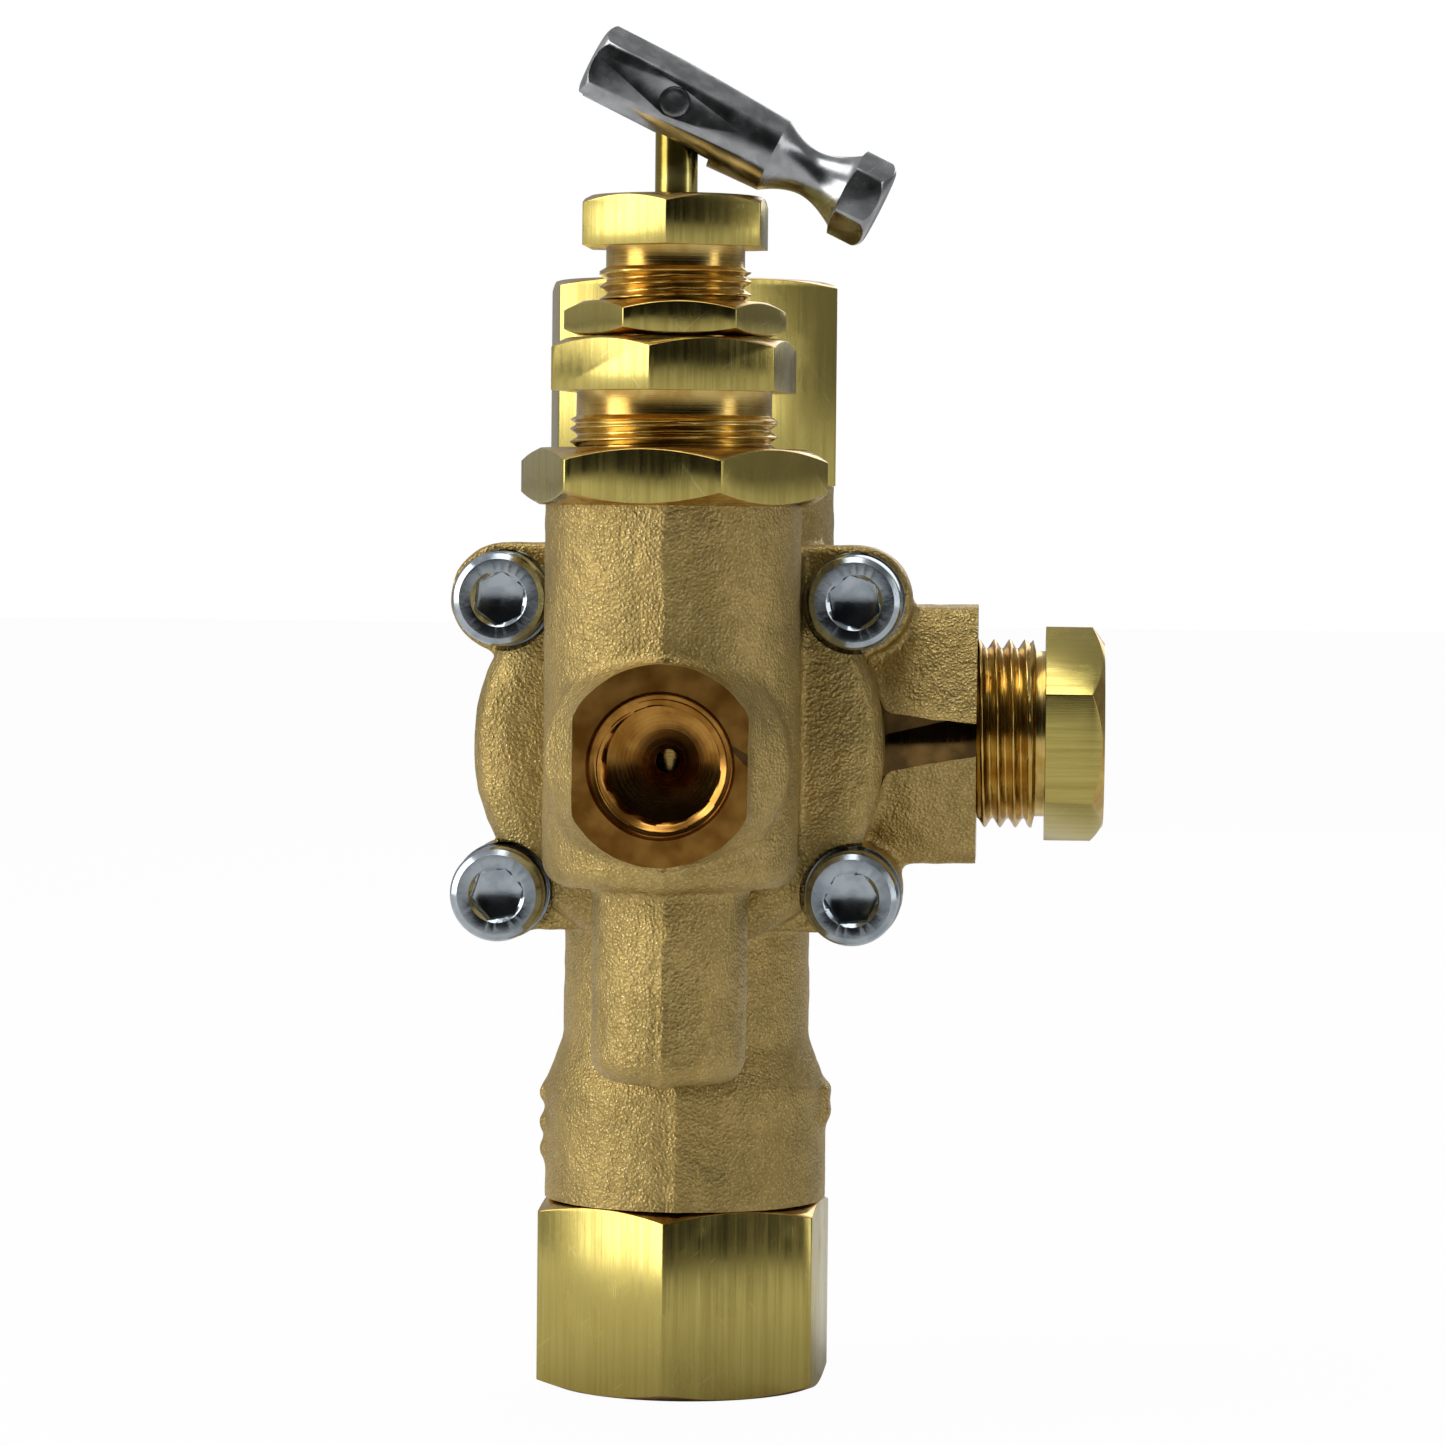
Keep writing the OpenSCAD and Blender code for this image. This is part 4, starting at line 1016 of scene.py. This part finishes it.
def lever_envelope():
    """Turned outline of the lever along its length."""
    cam = [(corner - 1.5 * (1 - math.sin(a)), 1.5 * (1 - math.cos(a))) for a in (i * math.pi / 12 for i in range(7))]
    neck = []
    for i in range(17):
        u = i / 8 - 1
        neck.append((NECK_R + (corner - 0.75 - NECK_R) * abs(u) ** 1.8, LEVER_BODY + LEVER_NECK * i / 16))
    end = LEVER_BODY + LEVER_NECK
    knob = [(corner + 0.05, end + 0.3)]
    knob += [(corner - 1.3 * (1 - math.cos(a)), LEVER_L - 1.3 * (1 - math.sin(a)))
             for a in (i * math.pi / 12 for i in range(7))]
    return turned([(0, 0)] + cam + neck + knob + [(0, LEVER_L)], 96)


def to_lever(thing):
    """Moves a shape from the lever's own axis, cam end at 0, to its place on the valve."""
    along = Matrix.Rotation(math.pi / 2, 4, "Y")
    lie = Matrix.Translation(pin_at * MM) @ Matrix.Rotation(LEVER_TILT, 4, "Y")
    thing.data.transform(lie @ Matrix.Translation((-LEVER_PIN * MM, 0, 0)) @ along)
    return thing


lever_bar = hex_bar(LEVER_AF, 0, LEVER_L, 0.25)
lever = make_object("lever", lever_bar)
carve(lever, lever_envelope(), operation="INTERSECT")
slot_cut = block(-2.6, 20, -2.25, 2.25, -3, LEVER_PIN + 5.3)
step_cut = block(-20, -corner + 0.3, -20, 20, -3, LEVER_PIN + 5.7)
hole_cut = placed(rod(1.56, -10, 10, 48), (0, 0, LEVER_PIN), "F")
carve(lever, slot_cut, step_cut, hole_cut)
to_lever(lever)
soften(lever, 0.12, 30)
smooth(lever, 30)
dress(lever, "lever", "lever_steel", ["toggle_lever"], lever_steel)

# %% Riveted pin
rivet = turned([(0, -4.05), (0.9, -4.25), (1.35, -4.2), (1.55, -3.9), (1.55, -2.3), (1.25, -2.25), (1.25, 2.25),
                (1.55, 2.3), (1.55, 3.9), (1.35, 4.2), (0.9, 4.25), (0, 4.05)], 48)
pin = make_object("rivet", placed(rivet, pin_at, "F"))
smooth(pin, 40)
dress(pin, "lever", "lever_steel", ["toggle_pin"], lever_steel)


# %% [markdown]
# ## Springs
# The CAD springs are coarse. A small circle spun with a rise for each step gives round wire, and
# its two ends are closed with caps.

# %% Springs
def coil(name, node, mid_r, wire_r, turns, axis, start, length):
    """Coil spring from a start point, along Z or to the front."""
    bm = bmesh.new()
    ring = bmesh.ops.create_circle(bm, cap_ends=True, segments=12, radius=wire_r)
    bmesh.ops.rotate(bm, verts=bm.verts, matrix=Matrix.Rotation(math.pi / 2, 3, "X"))
    bmesh.ops.translate(bm, verts=bm.verts, vec=(mid_r, 0, wire_r))
    steps = int(turns * 28)
    rise = (length - 2 * wire_r) / steps
    bmesh.ops.spin(bm, geom=bm.faces[:], cent=(0, 0, 0), axis=(0, 0, 1), dvec=(0, 0, rise),
                   angle=math.tau * turns, steps=steps)
    bmesh.ops.remove_doubles(bm, verts=bm.verts, dist=1e-4)
    bmesh.ops.recalc_face_normals(bm, faces=bm.faces)
    thing = smooth(make_object(name, placed(bm, start, axis)), 60)
    dress(thing, "valve_body", "spring_steel", [node], spring_steel)
    print(name, "wire of", len(ring["verts"]), "sides,", turns, "turns")


check_low, check_high = low("check_spring").z, high("check_spring").z
coil("check_coil", "check_spring", 3.3, 0.45, 4, "Z", (0, 0, check_low), check_high - check_low)
range_low, range_high = low("range_spring").z, high("range_spring").z
coil("range_coil", "range_spring", 4.4, 0.75, 7, "Z", (0, -barrel_y, range_low), range_high - range_low)
push_back, push_front = high("unloader_spring").y, low("unloader_spring").y
coil("unloader_coil", "unloader_spring", 2.95, 0.45, 6, "F", (0, push_back, chamber_z), push_back - push_front)

# %% [markdown]
# ## Inner pieces
# Discs, seats, guides and seals keep their CAD meshes, which are exact, and only get a metal or
# a rubber of their own.

# %% Materials of the inner pieces
INNER = {
    turned_brass: ["check_guide", "check_poppet", "pilot_seat"],
    # The unloader pieces take the darker front turned brass, a painted shade copy.
    turned_brass_front_shaded: ["unloader_seat", "unloader_poppet", "unloader_piston"],
    rubber: ["inlet_o_ring", "outlet_o_ring", "check_disc", "unloader_poppet_seal", "piston_o_ring",
             "chamber_o_ring", "stem_o_ring", "pilot_seat_o_ring"],
    screw_zinc: ["check_disc_screw", "upper_spring_seat", "lower_spring_seat"],
    spring_steel: ["check_retaining_ring", "pilot_ball", "exhaust_screen"],
    yellow_zinc: ["pilot_stem"],
    sintered_bronze: ["pilot_strainer"],
}
for material, nodes in INNER.items():
    for node in nodes:
        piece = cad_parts[node]
        piece.data.materials.clear()
        piece.data.materials.append(material)

# %% [markdown]
# ## Studio
# A white sweep and soft light from the left, with a weaker wall of light on the right. Polished
# brass is a mirror, so what stands behind the camera matters: a dark wall there gives the faces
# that look straight at the lens their deep brown. The sky holds that wall, and shows plain white
# to the camera itself.


# %% World
def make_world():
    """Sky with a dark wall behind the camera, white to the camera itself."""
    world = bpy.data.worlds.new("studio")
    scene.world = world
    world.use_nodes = True
    tree = world.node_tree
    shade = tree.nodes["Background"]
    way = tree.nodes.new("ShaderNodeTexCoord").outputs["Generated"]
    axes = add_node(tree, "ShaderNodeSeparateXYZ", {0: way}).outputs
    front = maths(tree, "MULTIPLY", axes["Y"], -1.0)
    dark = spread(tree, front, 0.25, 0.85)
    side = spread(tree, axes["X"], -0.9, 0.9, 0.95, 0.4)
    height = spread(tree, axes["Z"], -0.6, 0.9, 0.55, 1.1)
    glow = maths(tree, "MULTIPLY", side, height)
    glow = maths(tree, "MULTIPLY", glow, spread(tree, dark, 0, 1, 0.55, 0.02))
    seen = tree.nodes.new("ShaderNodeLightPath").outputs["Is Camera Ray"]
    level = maths(tree, "MAXIMUM", glow, seen)
    tree.links.new(level, shade.inputs["Strength"])
    shade.inputs["Color"].default_value = (1, 1, 1, 1)
    return world


make_world()


# %% Floor
def make_floor():
    """Wide pale floor just under the valve."""
    bm = bmesh.new()
    bmesh.ops.create_grid(bm, x_segments=2, y_segments=2, size=4.0)
    mesh = bpy.data.meshes.new("floor")
    bm.to_mesh(mesh)
    bm.free()
    floor = bpy.data.objects.new("floor", mesh)
    floor.location.z = -0.0002
    scene.collection.objects.link(floor)
    material = bpy.data.materials.new("floor white")
    material.use_nodes = True
    tree = material.node_tree
    tree.nodes.clear()
    matt = add_node(tree, "ShaderNodeBsdfDiffuse", {"Color": (0.85, 0.85, 0.85, 1)})
    white = add_node(tree, "ShaderNodeEmission", {"Color": (1, 1, 1, 1), "Strength": 1.0})
    seen = tree.nodes.new("ShaderNodeLightPath").outputs["Is Camera Ray"]
    share = maths(tree, "MULTIPLY", seen, 0.97)
    mix = add_node(tree, "ShaderNodeMixShader", {0: share, 1: matt.outputs[0], 2: white.outputs[0]})
    out = tree.nodes.new("ShaderNodeOutputMaterial")
    tree.links.new(mix.outputs[0], out.inputs["Surface"])
    mesh.materials.append(material)


make_floor()


# %% Lamps
def softbox(name, place, aim, width, height, power):
    """Rectangular lamp at a place in metres, aimed at a point."""
    lamp = bpy.data.lights.new(name, "AREA")
    lamp.shape = "RECTANGLE"
    lamp.size = width
    lamp.size_y = height
    lamp.energy = power
    thing = bpy.data.objects.new(name, lamp)
    thing.location = place
    thing.rotation_euler = (Vector(aim) - Vector(place)).to_track_quat("-Z", "Y").to_euler()
    scene.collection.objects.link(thing)


centre = (0, 0, 0.07)
softbox("left box", (-0.78, -0.36, 0.30), centre, 0.45, 0.9, 4.6)
softbox("right box", (0.80, -0.30, 0.25), centre, 0.2, 0.8, 0.9)
softbox("top box", (-0.10, -0.15, 0.95), centre, 0.7, 0.5, 3.0)
softbox("back box", (0.3, 0.9, 0.5), centre, 0.6, 0.6, 2.0)
scene.view_settings.view_transform = "Standard"
